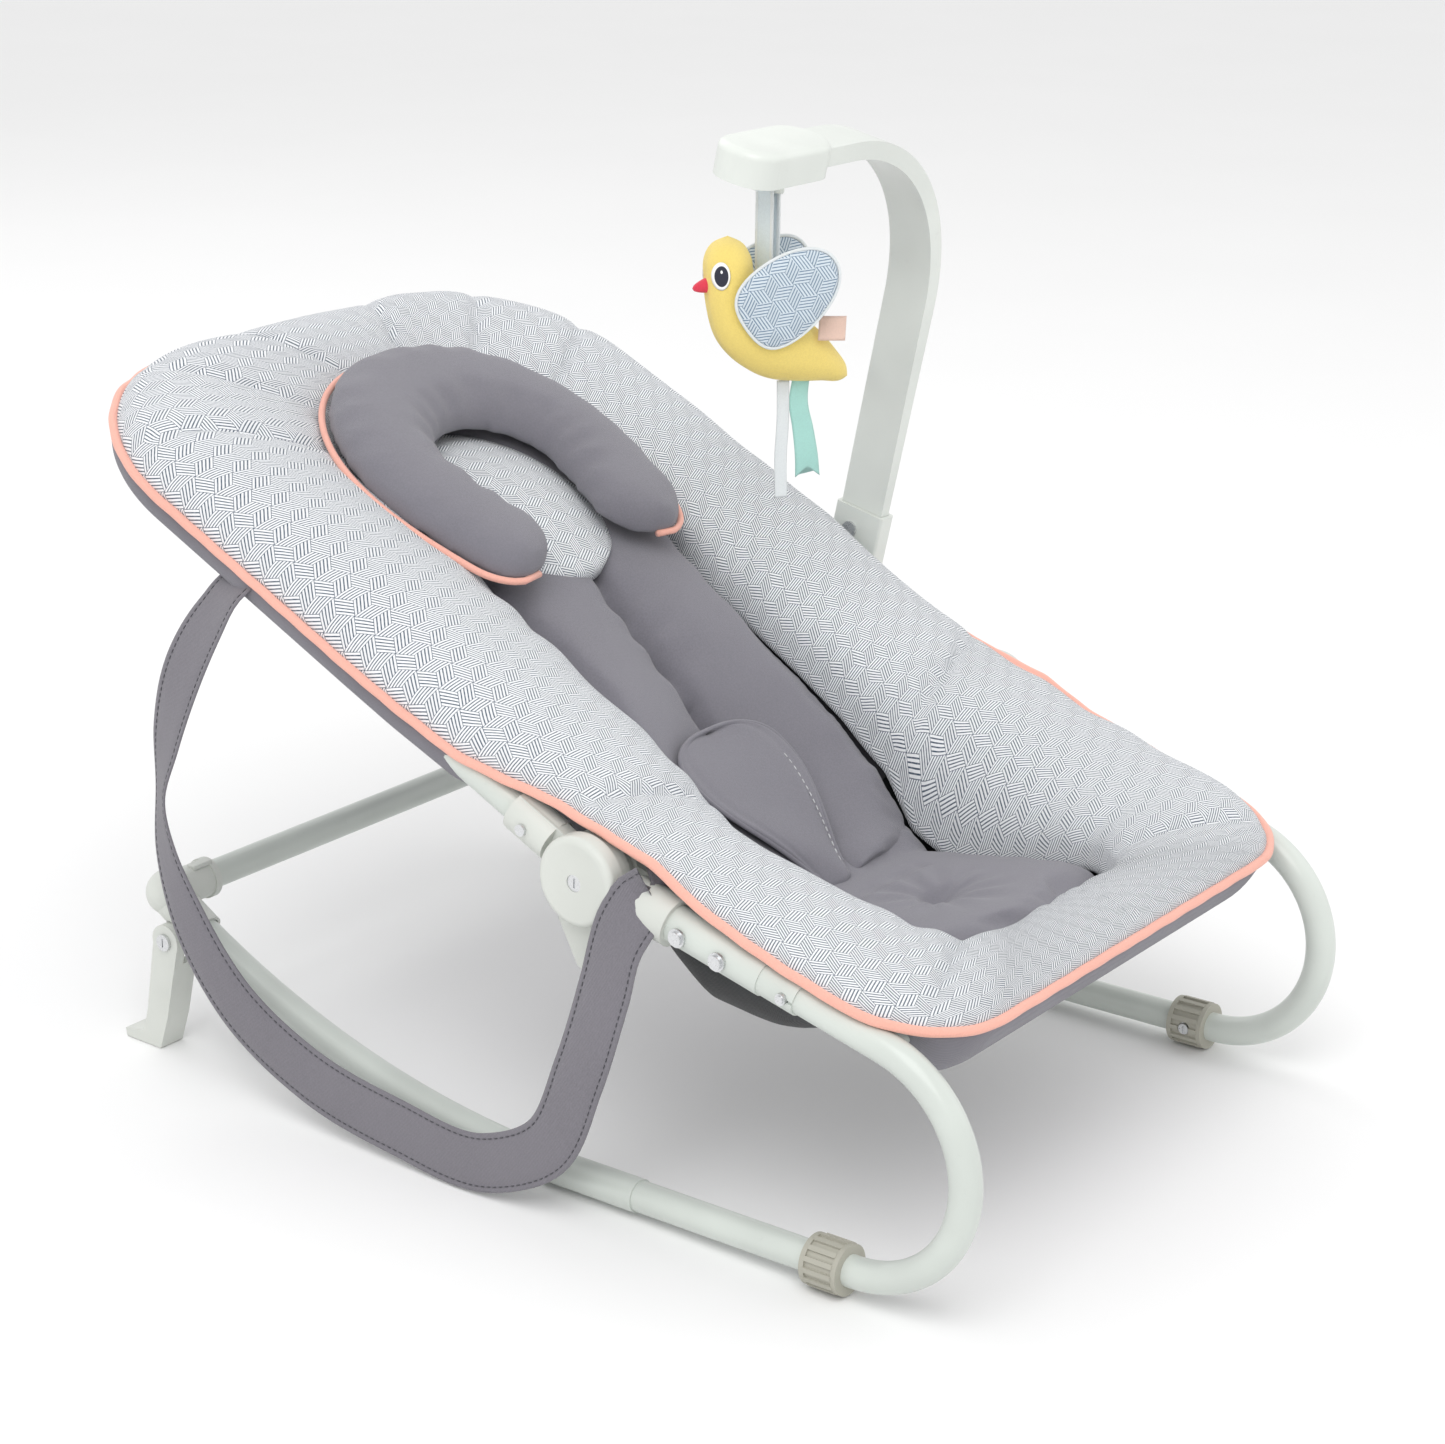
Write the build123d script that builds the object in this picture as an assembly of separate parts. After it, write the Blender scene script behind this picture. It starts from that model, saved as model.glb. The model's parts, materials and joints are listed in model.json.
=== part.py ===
from build123d import *
from math import acos, atan2, cos, hypot, radians, sin, tan
import os

# A baby bouncer: a rocking tube frame, a reclining fabric seat and a toy arch.
# Millimetres, +Z up, the foot end faces -Y, the floor is Z = 0.
# The origin lies on the floor, under the middle of the whole seat.

# side frames
side_x = 207.0            # each side frame's tubes lie in this plane
tube_r = 9.5
tube_wall = 1.5
fit_gap = 0.05            # radial running clearance
runner_r = 10.4           # rear tube, which the front tube slides into
floor_gap = 0.8           # lowest point of the runner above the floor
rocker_r = 620.0
rocker_low_y = -60.0
bend_y = -282.0
bend_z = 88.5
bend_r = 72.5
front_tube_end_y = -90.0
runner_start_y = -130.0
runner_end_y = 247.0
cross_y = 262.0
cross_z = 104.0

origin_shift = 9.5        # moves the origin under the middle of the whole seat

# seat, hub and back
seat_angle = 13.5         # seat tubes rise this much towards the hub
back_angle = 25.5         # back tubes rise this much from the hub
hub_y = -95.0
hub_r = 25.0
cap_r = 27.5
pin_r = 6.0
layer_seat = (190.0, 197.0)
layer_lever = (197.3, 203.0)
layer_back = (203.3, 213.0)
layer_cap = (213.3, 225.5)
rail_r = 11.5
rail_neck_r = 10.7
rail_start = 33.0         # distances along a rail from the hub axis
rail_step = 128.0
rail_end = 153.0
bolt_at = (72.0, 101.0)
button_at = 146.0
button_r = 3.4
socket_start = 31.0
socket_end = 62.0

# back frame, in the back's own plane
back_corner_r = 110.0
back_top = 478.0
edge_x = 215.0            # the seams' piping
edge_top = 492.0
edge_r = 118.0
piping_r = 3.0
seam_height = 17.5        # piping above the back tubes' plane
soft_base = 14.2
bolster_start = 66.0
bolster_end = 390.0
pillow_s = 276.0          # centre of the head pillow, up the back
pillow_base = 36.0
inner_x = 97.0
sling_half = 187.0        # half width of the cloth under the back, clear of the levers

# seat front, in the seat's own plane
front_edge = 243.0
front_r = 66.0
seat_seam_height = 17.0

# stop feet and floor rings
foot_y = 249.0
foot_z = 78.0
foot_pin_r = 3.0
foot_eye_r = 11.5
foot_in = 10.9            # inboard face of the foot's eye, from the tube's plane
foot_out = 18.4
ring_y = -268.0
ring_half = 12.5

# toy arch
arch_x = 227.0
arch_s = 139.0            # its clamp's place along the back tube
arch_lean = 12.0
arch_width = 34.0
arch_top_z = 589.0
arch_r = 131.0
head_x = 34.0
head_long = 82.0
head_wide = 44.0
head_thick = 22.0
arch_low_thick = 8.2      # the arm tapers to this at its foot
arch_top_thick = 12.0
arch_foot = 10.2          # arm's end above the clamp's axis
arch_screw_at = (4.0, 30.0)

# hanging toy
toy_x = 33.0
hook_drop = 9.0           # hook bar below the head
hook_r = 2.0
ribbon_thick = 0.8
ribbon_drop = 62.0
ribbon_gap = 5.2          # between the loop's two strands
bird_turn = -32.0         # turn of the bird about the vertical
bird_drop = 83.0          # bird's middle below the hook bar
bird_head_r = 19.0
bird_head_at = (31, 0, 40)

# carry straps
strap_x = 233.0
strap_half = 15.0
strap_thick = 1.8


# ---------------------------------------------------------------- derived
def side_tangent():
    """Angle and end points of the straight that joins the bend and the rocker."""
    rocker_z = floor_gap + runner_r + rocker_r
    dy = rocker_low_y - bend_y
    dz = rocker_z - bend_z
    angle = acos((rocker_r - bend_r) / hypot(dy, dz)) - atan2(dy, dz)
    up_y = -sin(angle)
    up_z = cos(angle)
    low = (bend_y - bend_r * up_y, bend_z - bend_r * up_z)
    far = (rocker_low_y - rocker_r * up_y, rocker_z - rocker_r * up_z)
    return angle, low, far, rocker_z


line_angle, bend_low, rocker_start, rocker_z = side_tangent()
seat_slope = radians(seat_angle)
bend_high = (bend_y - bend_r * sin(seat_slope), bend_z + bend_r * cos(seat_slope))
hub_z = bend_high[1] + (hub_y - bend_high[0]) * tan(seat_slope)


def tilted_plane(angle, along=0.0, above=0.0):
    """Plane through the hub axis: local Y runs up the slope, local Z is its normal."""
    a = radians(angle)
    y = hub_y + along * cos(a) - above * sin(a)
    z = hub_z + along * sin(a) + above * cos(a)
    return Plane(origin=(0, y, z), x_dir=(1, 0, 0), z_dir=(0, -sin(a), cos(a)))


seat_plane = tilted_plane(seat_angle)
back_plane = tilted_plane(back_angle)


def line_z(y):
    """Height of the straight lower tube at a given Y."""
    return bend_low[1] + (y - bend_low[0]) * tan(line_angle)


def x_cylinder(radius, x_low, x_high, y, z):
    """Round bar along X."""
    middle = (x_low + x_high) / 2
    bar = Cylinder(radius, abs(x_high - x_low))
    return Pos(middle, y, z) * Rot(0, 90, 0) * bar


def along_cylinder(plane, radius, start, end, x, above=0.0):
    """Round bar along a tilted plane's own Y."""
    bar = Cylinder(radius, abs(end - start))
    return plane * Pos(x, (start + end) / 2, above) * Rot(90, 0, 0) * bar


def plane_box(plane, x_range, y_range, z_range):
    """Box given by its limits in a tilted plane's own axes."""
    size = [abs(b - a) for a, b in (x_range, y_range, z_range)]
    middle = [(a + b) / 2 for a, b in (x_range, y_range, z_range)]
    return plane * Pos(*middle) * Box(*size)


def side_path(side, *points):
    """Points (y, z) in one side frame's plane."""
    return [(side * side_x, y, z) for y, z in points]


def hollow_sweep(path, outer, inner):
    """Tube with the given radii along a path."""
    section = Plane(origin=path @ 0, z_dir=path % 0)
    return sweep(section * Circle(outer), path=path) - sweep(section * Circle(inner), path=path)


def prism_x(points, x_low, x_high):
    """Outline (y, z) given in world axes, carried along X."""
    face = Plane.YZ * make_face(Polyline(*points, close=True))
    return Pos(x_low, 0, 0) * extrude(face, amount=x_high - x_low)


def plane_prism(plane, points, start, end):
    """Outline (x, height) in a tilted plane, carried along the plane's own Y."""
    face = make_face(Polyline(*[(x, z) for x, z in points], close=True))
    local = Plane(origin=(0, start, 0), x_dir=(1, 0, 0), z_dir=(0, -1, 0))
    length = end - start
    return plane * extrude(local * face, amount=-length)


# ---------------------------------------------------------------- frame tubes
def front_tube(side):
    """Front tube: seat rail end, front bend, then back along the floor."""
    start = seat_plane.from_local_coords(Vector(side * side_x, -(rail_step - 16), 0))
    far = (front_tube_end_y, line_z(front_tube_end_y))
    high, low, end = side_path(side, bend_high, bend_low, far)
    nose = (side * side_x, bend_y - bend_r, bend_z)
    path = Line(start, high) + ThreePointArc(high, nose, low) + Line(low, end)
    tube = hollow_sweep(Wire(path.edges()), tube_r, tube_r - tube_wall)
    return tube - button_hole(side, button_r + 0.3)


def button_hole(side, radius):
    """Cutter for the snap button, through the outboard wall only."""
    spot = seat_plane.from_local_coords(Vector(side * side_x, -button_at, 0))
    return x_cylinder(radius, side * side_x, side * (side_x + 16), spot.Y, spot.Z)


def runner_tube(side):
    """Rear tube: the rocker, from the sleeve joint up to the corner fitting."""
    start, bend, end = side_path(
        side,
        (runner_start_y, line_z(runner_start_y)),
        rocker_start,
        (runner_end_y, rocker_height(runner_end_y)),
    )
    middle_y = (rocker_start[0] + runner_end_y) / 2
    middle = (side * side_x, middle_y, rocker_height(middle_y))
    path = Line(start, bend) + ThreePointArc(bend, middle, end)
    return hollow_sweep(Wire(path.edges()), runner_r, tube_r + fit_gap)


def rocker_height(y):
    """Height of the rocker's centre line at a given Y."""
    return rocker_z - (rocker_r ** 2 - (y - rocker_low_y) ** 2) ** 0.5


def cross_tube():
    """Rear cross tube between the two corner fittings."""
    outer = x_cylinder(tube_r, -side_x + 8, side_x - 8, cross_y, cross_z)
    return outer - x_cylinder(tube_r - tube_wall, -side_x, side_x, cross_y, cross_z)


def corner_fitting(side):
    """Moulded elbow that joins the rocker and the cross tube and carries the stop foot."""
    x = side * side_x
    end_z = rocker_height(runner_end_y)
    slope = (runner_end_y - rocker_low_y) / (rocker_z - end_z)
    a = atan2(slope, 1)
    elbow = Pos(x, cross_y, cross_z) * Sphere(15.5)
    sleeve = x_cylinder(12.5, x, side * (side_x - 34), cross_y, cross_z)
    collar = x_cylinder(13.6, side * (side_x - 29), side * (side_x - 34), cross_y, cross_z)
    reach = 40
    root = Plane(
        origin=(x, runner_end_y - reach * cos(a) * 0.45, end_z - reach * sin(a) * 0.45),
        z_dir=(0, cos(a), sin(a)),
    )
    socket = root * Pos(0, 0, reach / 2) * Cylinder(13.0, reach)
    lug = Pos(x + side * 1.5, foot_y, foot_z + 3) * Box(9, 18, 28)
    lug += x_cylinder(10.5, x - side * 3, x + side * 6, foot_y, foot_z)
    clip = Pos(side * (side_x - 24), cross_y - 3, cross_z + 12.5) * Box(16, 8, 3.4)
    knob = Pos(side * (side_x - 22), cross_y, cross_z - 15) * Cylinder(3.2, 9)
    knob += Pos(side * (side_x - 22), cross_y, cross_z - 19) * Cylinder(5, 3.6)
    body = elbow + sleeve + collar + socket + lug + knob + fillet(clip.edges(), 1.2)
    run = Plane(
        origin=(x, runner_end_y - 60 * cos(a), end_z - 60 * sin(a)),
        z_dir=(0, cos(a), sin(a)),
    )
    body -= run * Pos(0, 0, 30) * Cylinder(runner_r + 0.6, 60)
    body -= x_cylinder(tube_r + fit_gap, side * (side_x - 8), side * (side_x - 40), cross_y, cross_z)
    body -= x_cylinder(foot_pin_r, x - side * 10, x + side * 12, foot_y, foot_z)
    body -= x_cylinder(foot_eye_r + 0.8, x + side * 9.9, x + side * 20, foot_y, foot_z)
    return body - runner_tube(side)


def stop_foot(side):
    """Swing-down foot that stops the rocking."""
    x = side * side_x
    eye = x_cylinder(foot_eye_r, x + side * foot_in, x + side * foot_out, foot_y, foot_z)
    leg = [
        (foot_y - 11.0, foot_z - 2),
        (foot_y + 11.0, foot_z - 2),
        (foot_y + 19.5, 26),
        (foot_y + 24.0, 9),
        (foot_y + 42.0, 5.5),
        (foot_y + 41.0, 0.0),
        (foot_y + 9.0, 0.0),
        (foot_y + 1.0, 24),
    ]
    blade = prism_x(leg, *sorted((x - side * 1.0, x + side * foot_out)))
    hollow = [
        (foot_y + 0.5, foot_z - 24),
        (foot_y + 9.5, foot_z - 24),
        (foot_y + 14.5, 27),
        (foot_y + 16.5, 14),
        (foot_y + 9.0, 12),
        (foot_y + 6.0, 27),
    ]
    blade -= prism_x(hollow, *sorted((x - side * 4.0, x + side * 13.0)))
    blade -= x_cylinder(17.5, x - side * 4, x + side * foot_in, foot_y, foot_z)
    body = eye + blade
    return body - x_cylinder(foot_pin_r + fit_gap, x, x + side * 30, foot_y, foot_z)


def foot_pins():
    """Pivot screws of the stop feet."""
    pins = []
    for side in (-1, 1):
        x = side * (side_x - 3)
        tip = side * (side_x + foot_out + 0.3)
        pin = x_cylinder(foot_pin_r, x, tip, foot_y, foot_z)
        head = x_cylinder(5.6, tip, tip + side * 1.8, foot_y, foot_z)
        slot = Pos(tip + side * 1.6, foot_y, foot_z) * Box(1.6, 1.2, 6)
        pins.append(pin + head - slot)
    return Compound(pins)


def floor_ring(side):
    """Ribbed anti-slip ring clamped round the front of the runner."""
    z = line_z(ring_y)
    outer_r = z
    angle_deg = line_angle * 57.29578
    place = Pos(side * side_x, ring_y, z) * Rot(angle_deg, 0, 0) * Rot(90, 0, 0)
    ring = Cylinder(outer_r - 1.6, 2 * ring_half)
    for shift in (-ring_half + 1.6, ring_half - 1.6):
        ring += Pos(0, 0, shift) * Cylinder(outer_r - 0.4, 3.2)
    rib = Pos(outer_r - 1.4, 0, 0) * Box(2.8, 3.0, 2 * ring_half - 6)
    ribs = [Rot(0, 0, 360 / 14 * i) * rib for i in range(14)]
    for piece in ribs:
        ring += piece
    ring -= Cylinder(tube_r + 0.02, 60)
    inner = -side * (outer_r - 4)
    pocket = Pos(inner, 0, 0) * Rot(0, 90, 0) * Cylinder(4.2, 9)
    ring -= pocket
    ring = place * ring
    floor = Pos(side * side_x, ring_y, -50) * Box(80, 80, 100)
    return ring - floor


def ring_screws():
    """One clamp screw in the inboard side of each floor ring."""
    screws = []
    for side in (-1, 1):
        z = line_z(ring_y)
        face = side * (side_x - tube_r - 0.1)
        shank = x_cylinder(4.1, face, face - side * 3.0, ring_y, z)
        head = x_cylinder(3.6, face - side * 3.0, face - side * 5.4, ring_y, z)
        slot = Pos(face - side * 5.2, ring_y, z) * Box(1.4, 1.1, 5)
        screws.append(shank + head - slot)
    return Compound(screws)


# ---------------------------------------------------------------- seat rails
def seat_rail(side):
    """Rail tube from the hub, with a swaged neck that takes the front tube."""
    x = side * side_x
    rail = along_cylinder(seat_plane, rail_r, -rail_start, -rail_step, x)
    rail += along_cylinder(seat_plane, rail_neck_r, -rail_step, -rail_end, x)
    rail -= along_cylinder(seat_plane, tube_r + fit_gap, -rail_start, -rail_end, x)
    slot_spot = (-rail_end, -rail_end + 4)
    rail -= plane_box(seat_plane, sorted((x, x + side * 14)), slot_spot, (-1.0, 1.0))
    rail -= button_hole(side, button_r + 0.1)
    for along in bolt_at:
        rail -= bolt_bar(side, along, 3.0, -14, 14)
    return rail


def bolt_bar(side, along, radius, start, end):
    """Bar along X through the rail at a bolt's place; offsets count outboard."""
    spot = seat_plane.from_local_coords(Vector(0, -along, 0))
    x = side * side_x
    return x_cylinder(radius, x + side * start, x + side * end, spot.Y, spot.Z)


def rail_bolts():
    """Domed bolts with nuts, two through each rail."""
    bolts = []
    for side in (-1, 1):
        for along in bolt_at:
            bolt = bolt_bar(side, along, 3.0, -15, 11.6)
            bolt += bolt_bar(side, along, 5.6, 11.6, 13.2)
            bolt += bolt_bar(side, along, 4.2, 13.2, 15.0)
            bolt += bolt_bar(side, along, 5.2, -15, -11.6)
            bolts.append(bolt)
    return Compound(bolts)


def snap_button(side):
    """Domed spring button that locks the front tube in the rail."""
    spot = seat_plane.from_local_coords(Vector(side * side_x, -button_at, 0))
    x = spot.X
    body = x_cylinder(button_r, x + side * 5.5, x + side * 12.6, spot.Y, spot.Z)
    body += x_cylinder(button_r - 0.9, x + side * 12.6, x + side * 13.6, spot.Y, spot.Z)
    return body


# ---------------------------------------------------------------- hubs
def x_disc(radius, layer, side, y=None, z=None):
    """Disc on the hub axis, or on another one, between two distances from the middle."""
    y = hub_y if y is None else y
    z = hub_z if z is None else z
    return x_cylinder(radius, side * layer[0], side * layer[1], y, z)


def seat_hub(side):
    """Inner hub plate with the socket that holds the seat rail."""
    x = side * side_x
    body = x_disc(hub_r, layer_seat, side)
    web = sorted((side * 190.0, side * 197.0))
    body += plane_box(seat_plane, web, (-socket_end, 0), (-13, 13))
    body += along_cylinder(seat_plane, 14.8, -socket_start, -socket_end, x)
    body -= along_cylinder(seat_plane, rail_r, -socket_start + 6, -socket_end - 2, x)
    return body - x_disc(pin_r, (180, 230), side)


def recline_lever(side):
    """Release lever that hangs below the hub."""
    body = x_disc(22.0, layer_lever, side)
    lobe_y = hub_y - 3.0
    tip_z = hub_z - 52.0
    outline = [
        (hub_y + 21.5, hub_z - 5),
        (hub_y + 21.0, hub_z - 30),
        (lobe_y + 10, tip_z - 4),
        (lobe_y, tip_z - 11),
        (lobe_y - 9, tip_z - 6),
        (hub_y - 14.0, hub_z - 40),
        (hub_y - 18.0, hub_z - 12),
    ]
    low = min(side * a for a in layer_lever)
    body += prism_x(outline, low, low + layer_lever[1] - layer_lever[0])
    grip = prism_x(outline, *sorted((side * 192.0, side * 214.0)))
    grip -= x_cylinder(29.0, side * 180, side * 230, hub_y, hub_z)
    grip = fillet(grip.edges().filter_by(Axis.X), 1.2)
    body += grip
    return body - x_disc(pin_r + fit_gap, (180, 230), side)


def back_hub(side):
    """Hub plate with the socket that holds the back tube."""
    x = side * side_x
    body = x_disc(hub_r, layer_back, side)
    web = sorted((side * layer_back[0], side * layer_back[1]))
    body += plane_box(back_plane, web, (0, socket_end), (-12.5, 12.5))
    body += along_cylinder(back_plane, 13.2, socket_start, socket_end, x)
    body -= along_cylinder(back_plane, tube_r, socket_start + 4, socket_end + 2, x)
    return body - x_disc(pin_r + fit_gap, (180, 230), side)


def hub_cap(side):
    """Domed outer cover of the hub."""
    dome = x_disc(cap_r, layer_cap, side)
    rim = dome.edges().filter_by(GeomType.CIRCLE).sort_by(Axis.X)
    outer = rim[-1] if side > 0 else rim[0]
    dome = fillet(outer, 4.5)
    dome -= x_disc(5.2, (layer_cap[1] - 2.4, layer_cap[1] + 2), side)
    return dome - x_disc(2.5, (210, 230), side)


def hub_pins():
    """Pivot pins of the back, held in the inner hub plates."""
    pins = []
    for side in (-1, 1):
        pin = x_disc(pin_r, (layer_seat[0], layer_cap[0]), side)
        pins.append(pin - x_disc(2.5, (layer_cap[0] - 14, layer_cap[0] + 5), side))
    return Compound(pins)


def hub_screws():
    """Cap screws, turned into the pivot pins."""
    screws = []
    seat = layer_cap[1] - 2.4
    for side in (-1, 1):
        screw = x_disc(2.5, (layer_cap[0] - 13, seat), side)
        screw += x_disc(5.1, (seat, seat + 1.8), side)
        screw -= Pos(side * (seat + 1.6), hub_y, hub_z) * Box(1.6, 1.2, 6)
        screws.append(screw)
    return Compound(screws)


# ---------------------------------------------------------------- back frame
def back_tube():
    """One bent tube: up one side, round the head and down the other."""
    start = socket_start + 4
    turn = back_top - back_corner_r
    flat = side_x - back_corner_r
    knee = back_corner_r * (1 - cos(radians(45)))
    path = Line((-side_x, start), (-side_x, turn))
    path += ThreePointArc((-side_x, turn), (-side_x + knee, back_top - knee), (-flat, back_top))
    path += Line((-flat, back_top), (flat, back_top))
    path += ThreePointArc((flat, back_top), (side_x - knee, back_top - knee), (side_x, turn))
    path += Line((side_x, turn), (side_x, start))
    return hollow_sweep(Wire((back_plane * path).edges()), tube_r, tube_r - tube_wall)


def socket_rivets():
    """Rivet heads that pin the back tube in its two sockets."""
    rivets = []
    spot = back_plane.from_local_coords(Vector(0, 48, 0))
    for side in (-1, 1):
        rivets.append(x_cylinder(3.6, side * 220.3, side * 222.2, spot.Y, spot.Z))
    return Compound(rivets)


def front_bar():
    """Bar in the seat's front hem, between the two front bends."""
    spot = seat_plane.from_local_coords(Vector(0, -207, 0))
    bar = x_cylinder(6.5, -side_x + 4, side_x - 4, spot.Y, spot.Z)
    for side in (-1, 1):
        bar -= along_cylinder(seat_plane, tube_r + 0.03, -150, -260, side * side_x)
    return bar


# ---------------------------------------------------------------- soft parts
def back_bolster(side):
    """Padded side of the back's collar."""
    out = edge_x - 6
    base = [(190, soft_base), (out, soft_base)]
    low = [(inner_x, -19)] + base + [(out, 20), (186, 40), (152, 42), (inner_x, 22)]
    high = [(inner_x, 2)] + base + [(out, 24), (186, 52), (150, 54), (inner_x, 30)]
    faces = []
    for outline, along in ((low, bolster_start), (high, bolster_end)):
        local = Plane(origin=(0, along, 0), x_dir=(1, 0, 0), z_dir=(0, -1, 0))
        corners = [(side * a, b) for a, b in outline]
        faces.append(back_plane * local * make_face(Polyline(*corners, close=True)))
    return loft(Sketch() + faces, ruled=True)


def head_bolster():
    """Padded top of the back's collar."""
    half = edge_x - 3.5
    low_y = bolster_end + 0.5
    top = edge_top - 3.5
    r = edge_r - 3.5
    outline = Pos(0, (top + low_y - 120) / 2) * Rectangle(2 * half, top - low_y + 120)
    outline = fillet(outline.vertices().group_by(Axis.Y)[-1], r)
    outline &= Pos(0, low_y + 150) * Rectangle(600, 300)
    slab = extrude(Pos(0, 0, soft_base) * outline, amount=33)
    slab = fillet(slab.edges().group_by(Axis.Z)[-1], 14)
    return back_plane * slab


def back_pad():
    """Quilted centre pad of the back, from the hips to the head."""
    top = [(-20, -36), (200, 8), (392, 12)]
    bottom = [(along, height - 18) for along, height in reversed(top)]
    return back_slab(top + bottom, inner_x - 3)


def back_sling():
    """Cloth shell under the back."""
    top = [(-18, -56), (200, -11.5), (372, -7.2), (466, -7.2)]
    bottom = [(along, height - 4) for along, height in reversed(top)]
    slab = back_slab(top + bottom, sling_half)
    outline = Pos(0, 466 - 300) * Rectangle(2 * sling_half, 600)
    outline = fillet(outline.vertices().group_by(Axis.Y)[-1], back_corner_r - 12)
    return slab & extrude(back_plane * Pos(0, 0, -100) * outline, amount=140)


def back_slab(points, half):
    """Outline (along, height) in the back's plane, carried across the width."""
    world = []
    a = radians(back_angle)
    for along, height in points:
        y = hub_y + along * cos(a) - height * sin(a)
        z = hub_z + along * sin(a) + height * cos(a)
        world.append((y, z))
    return prism_x(world, -half, half)


def head_pillow():
    """Horseshoe head support that lies on the back pad."""
    centre = Pos(0, pillow_s)
    outer = centre * Ellipse(112, 112)
    inner = centre * (Pos(0, -2) * Ellipse(50, 44) + Pos(0, -70) * Rectangle(66, 140))
    shape = outer - inner
    return extrude(back_plane * Pos(0, 0, pillow_base) * shape, amount=27)


def pillow_panel():
    """Patterned panel inside the horseshoe."""
    shape = Pos(0, pillow_s) * Ellipse(84, 90)
    return extrude(back_plane * Pos(0, 0, pillow_base - 6) * shape, amount=5.7)


def back_piping():
    """Contrast piping round the back's edge."""
    turn = edge_top - edge_r
    flat = edge_x - edge_r
    knee = edge_r * (1 - cos(radians(45)))
    path = Line((-edge_x, 66), (-edge_x, turn))
    path += ThreePointArc((-edge_x, turn), (-edge_x + knee, edge_top - knee), (-flat, edge_top))
    path += Line((-flat, edge_top), (flat, edge_top))
    path += ThreePointArc((flat, edge_top), (edge_x - knee, edge_top - knee), (edge_x, turn))
    path += Line((edge_x, turn), (edge_x, 66))
    wire = Wire((back_plane * Pos(0, 0, seam_height) * path).edges())
    return sweep(Plane(origin=wire @ 0, z_dir=wire % 0) * Circle(piping_r), path=wire)


def seat_piping():
    """Contrast piping round the seat's front edge."""
    half = edge_x - 3
    turn = front_edge - front_r
    flat = half - front_r
    knee = front_r * (1 - cos(radians(45)))
    path = Line((-half, -64), (-half, -turn))
    path += ThreePointArc((-half, -turn), (-half + knee, -front_edge + knee), (-flat, -front_edge))
    path += Line((-flat, -front_edge), (flat, -front_edge))
    path += ThreePointArc((flat, -front_edge), (half - knee, -front_edge + knee), (half, -turn))
    path += Line((half, -turn), (half, -64))
    wire = Wire((seat_plane * Pos(0, 0, seat_seam_height) * path).edges())
    return sweep(Plane(origin=wire @ 0, z_dir=wire % 0) * Circle(piping_r), path=wire)


def seat_bolster(side):
    """Padded side of the seat's collar."""
    out = edge_x - 6.5
    outline = [(inner_x, -30), (190, soft_base), (out, soft_base), (out, 19)]
    outline += [(184, 30), (150, 32), (inner_x, 8)]
    return plane_prism(seat_plane, [(side * a, b) for a, b in outline], -174, -66)


def front_bolster():
    """Padded front of the seat's collar."""
    half = edge_x - 6.5
    front = front_edge - 3.5
    outline = Pos(0, -front / 2) * Rectangle(2 * half, front)
    outline = fillet(outline.vertices().group_by(Axis.Y)[0], front_r - 3.5)
    outline &= Pos(0, -front / 2 - 174.5) * Rectangle(600, front)
    return extrude(seat_plane * Pos(0, 0, soft_base) * outline, amount=17)


def seat_pad():
    """Quilted seat cushion, sunk between the collar's sides."""
    top = [(-118, 142), (-200, 147), (-262, 158)]
    bottom = [(y, z - 18) for y, z in reversed(top)]
    return prism_x(top + bottom, -inner_x + 3, inner_x - 3)


def seat_sling():
    """Cloth shell under the front of the seat."""
    top = [(-178, 124.5), (-262, 138.3), (-296, 147), (-322, 162)]
    outline = top + [(-318, 140), (-306, 119), (-178, 108)]
    return prism_x(outline, -183, 183)


def hip_sling():
    """Darker cloth under the hips, behind the seat shell."""
    outline = [(-112, 122.5), (-177.6, 126), (-177.6, 108), (-118, 107)]
    return prism_x(outline, -183, 183)


def crotch_flap():
    """Padded flap that rises between the legs and lies on the back pad."""
    outline = [(-125, 146), (-97, 169.5), (-30, 219.8), (-35, 227), (-102, 178), (-133, 151)]
    return prism_x(outline, -46, 46)


# ---------------------------------------------------------------- toy arch
def arch_socket():
    """Clamp round the back tube with the sleeve that holds the arch."""
    ring = along_cylinder(back_plane, 13.4, arch_s - 17, arch_s + 17, side_x)
    tube = along_cylinder(back_plane, tube_r + fit_gap, arch_s - 30, arch_s + 30, side_x)
    bridge = plane_box(back_plane, (side_x + 5, arch_x), (arch_s - 17, arch_s + 17), (-9, 5))
    sleeve = Box(15, arch_width + 5, 52)
    sleeve = fillet(sleeve.edges().filter_by(Axis.Z), 2.2)
    sleeve = arch_frame() * Pos(arch_x, 0, 20) * sleeve
    body = ring + bridge + sleeve - tube
    body -= arch_frame() * Pos(arch_x, 0, 40) * Box(9.8, arch_width, 60)
    screw = arch_point(arch_x, *arch_screw_at)
    return body - x_cylinder(3.0, side_x, arch_x + 20, screw.Y, screw.Z)


def arch_frame():
    """Leaning frame at the foot of the arch; its own Z runs up the arm."""
    spot = back_plane.from_local_coords(Vector(0, arch_s, 0))
    lean = radians(arch_lean)
    return Plane(origin=(0, spot.Y, spot.Z), x_dir=(1, 0, 0), z_dir=(0, -sin(lean), cos(lean)))


def arch_point(x, y, z):
    """Point given in the arch's leaning frame."""
    return arch_frame().from_local_coords(Vector(x, y, z))


def arch_height(z):
    """Distance up the leaning frame at which a given height is reached."""
    return (z - arch_frame().origin.Z) / cos(radians(arch_lean))


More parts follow.
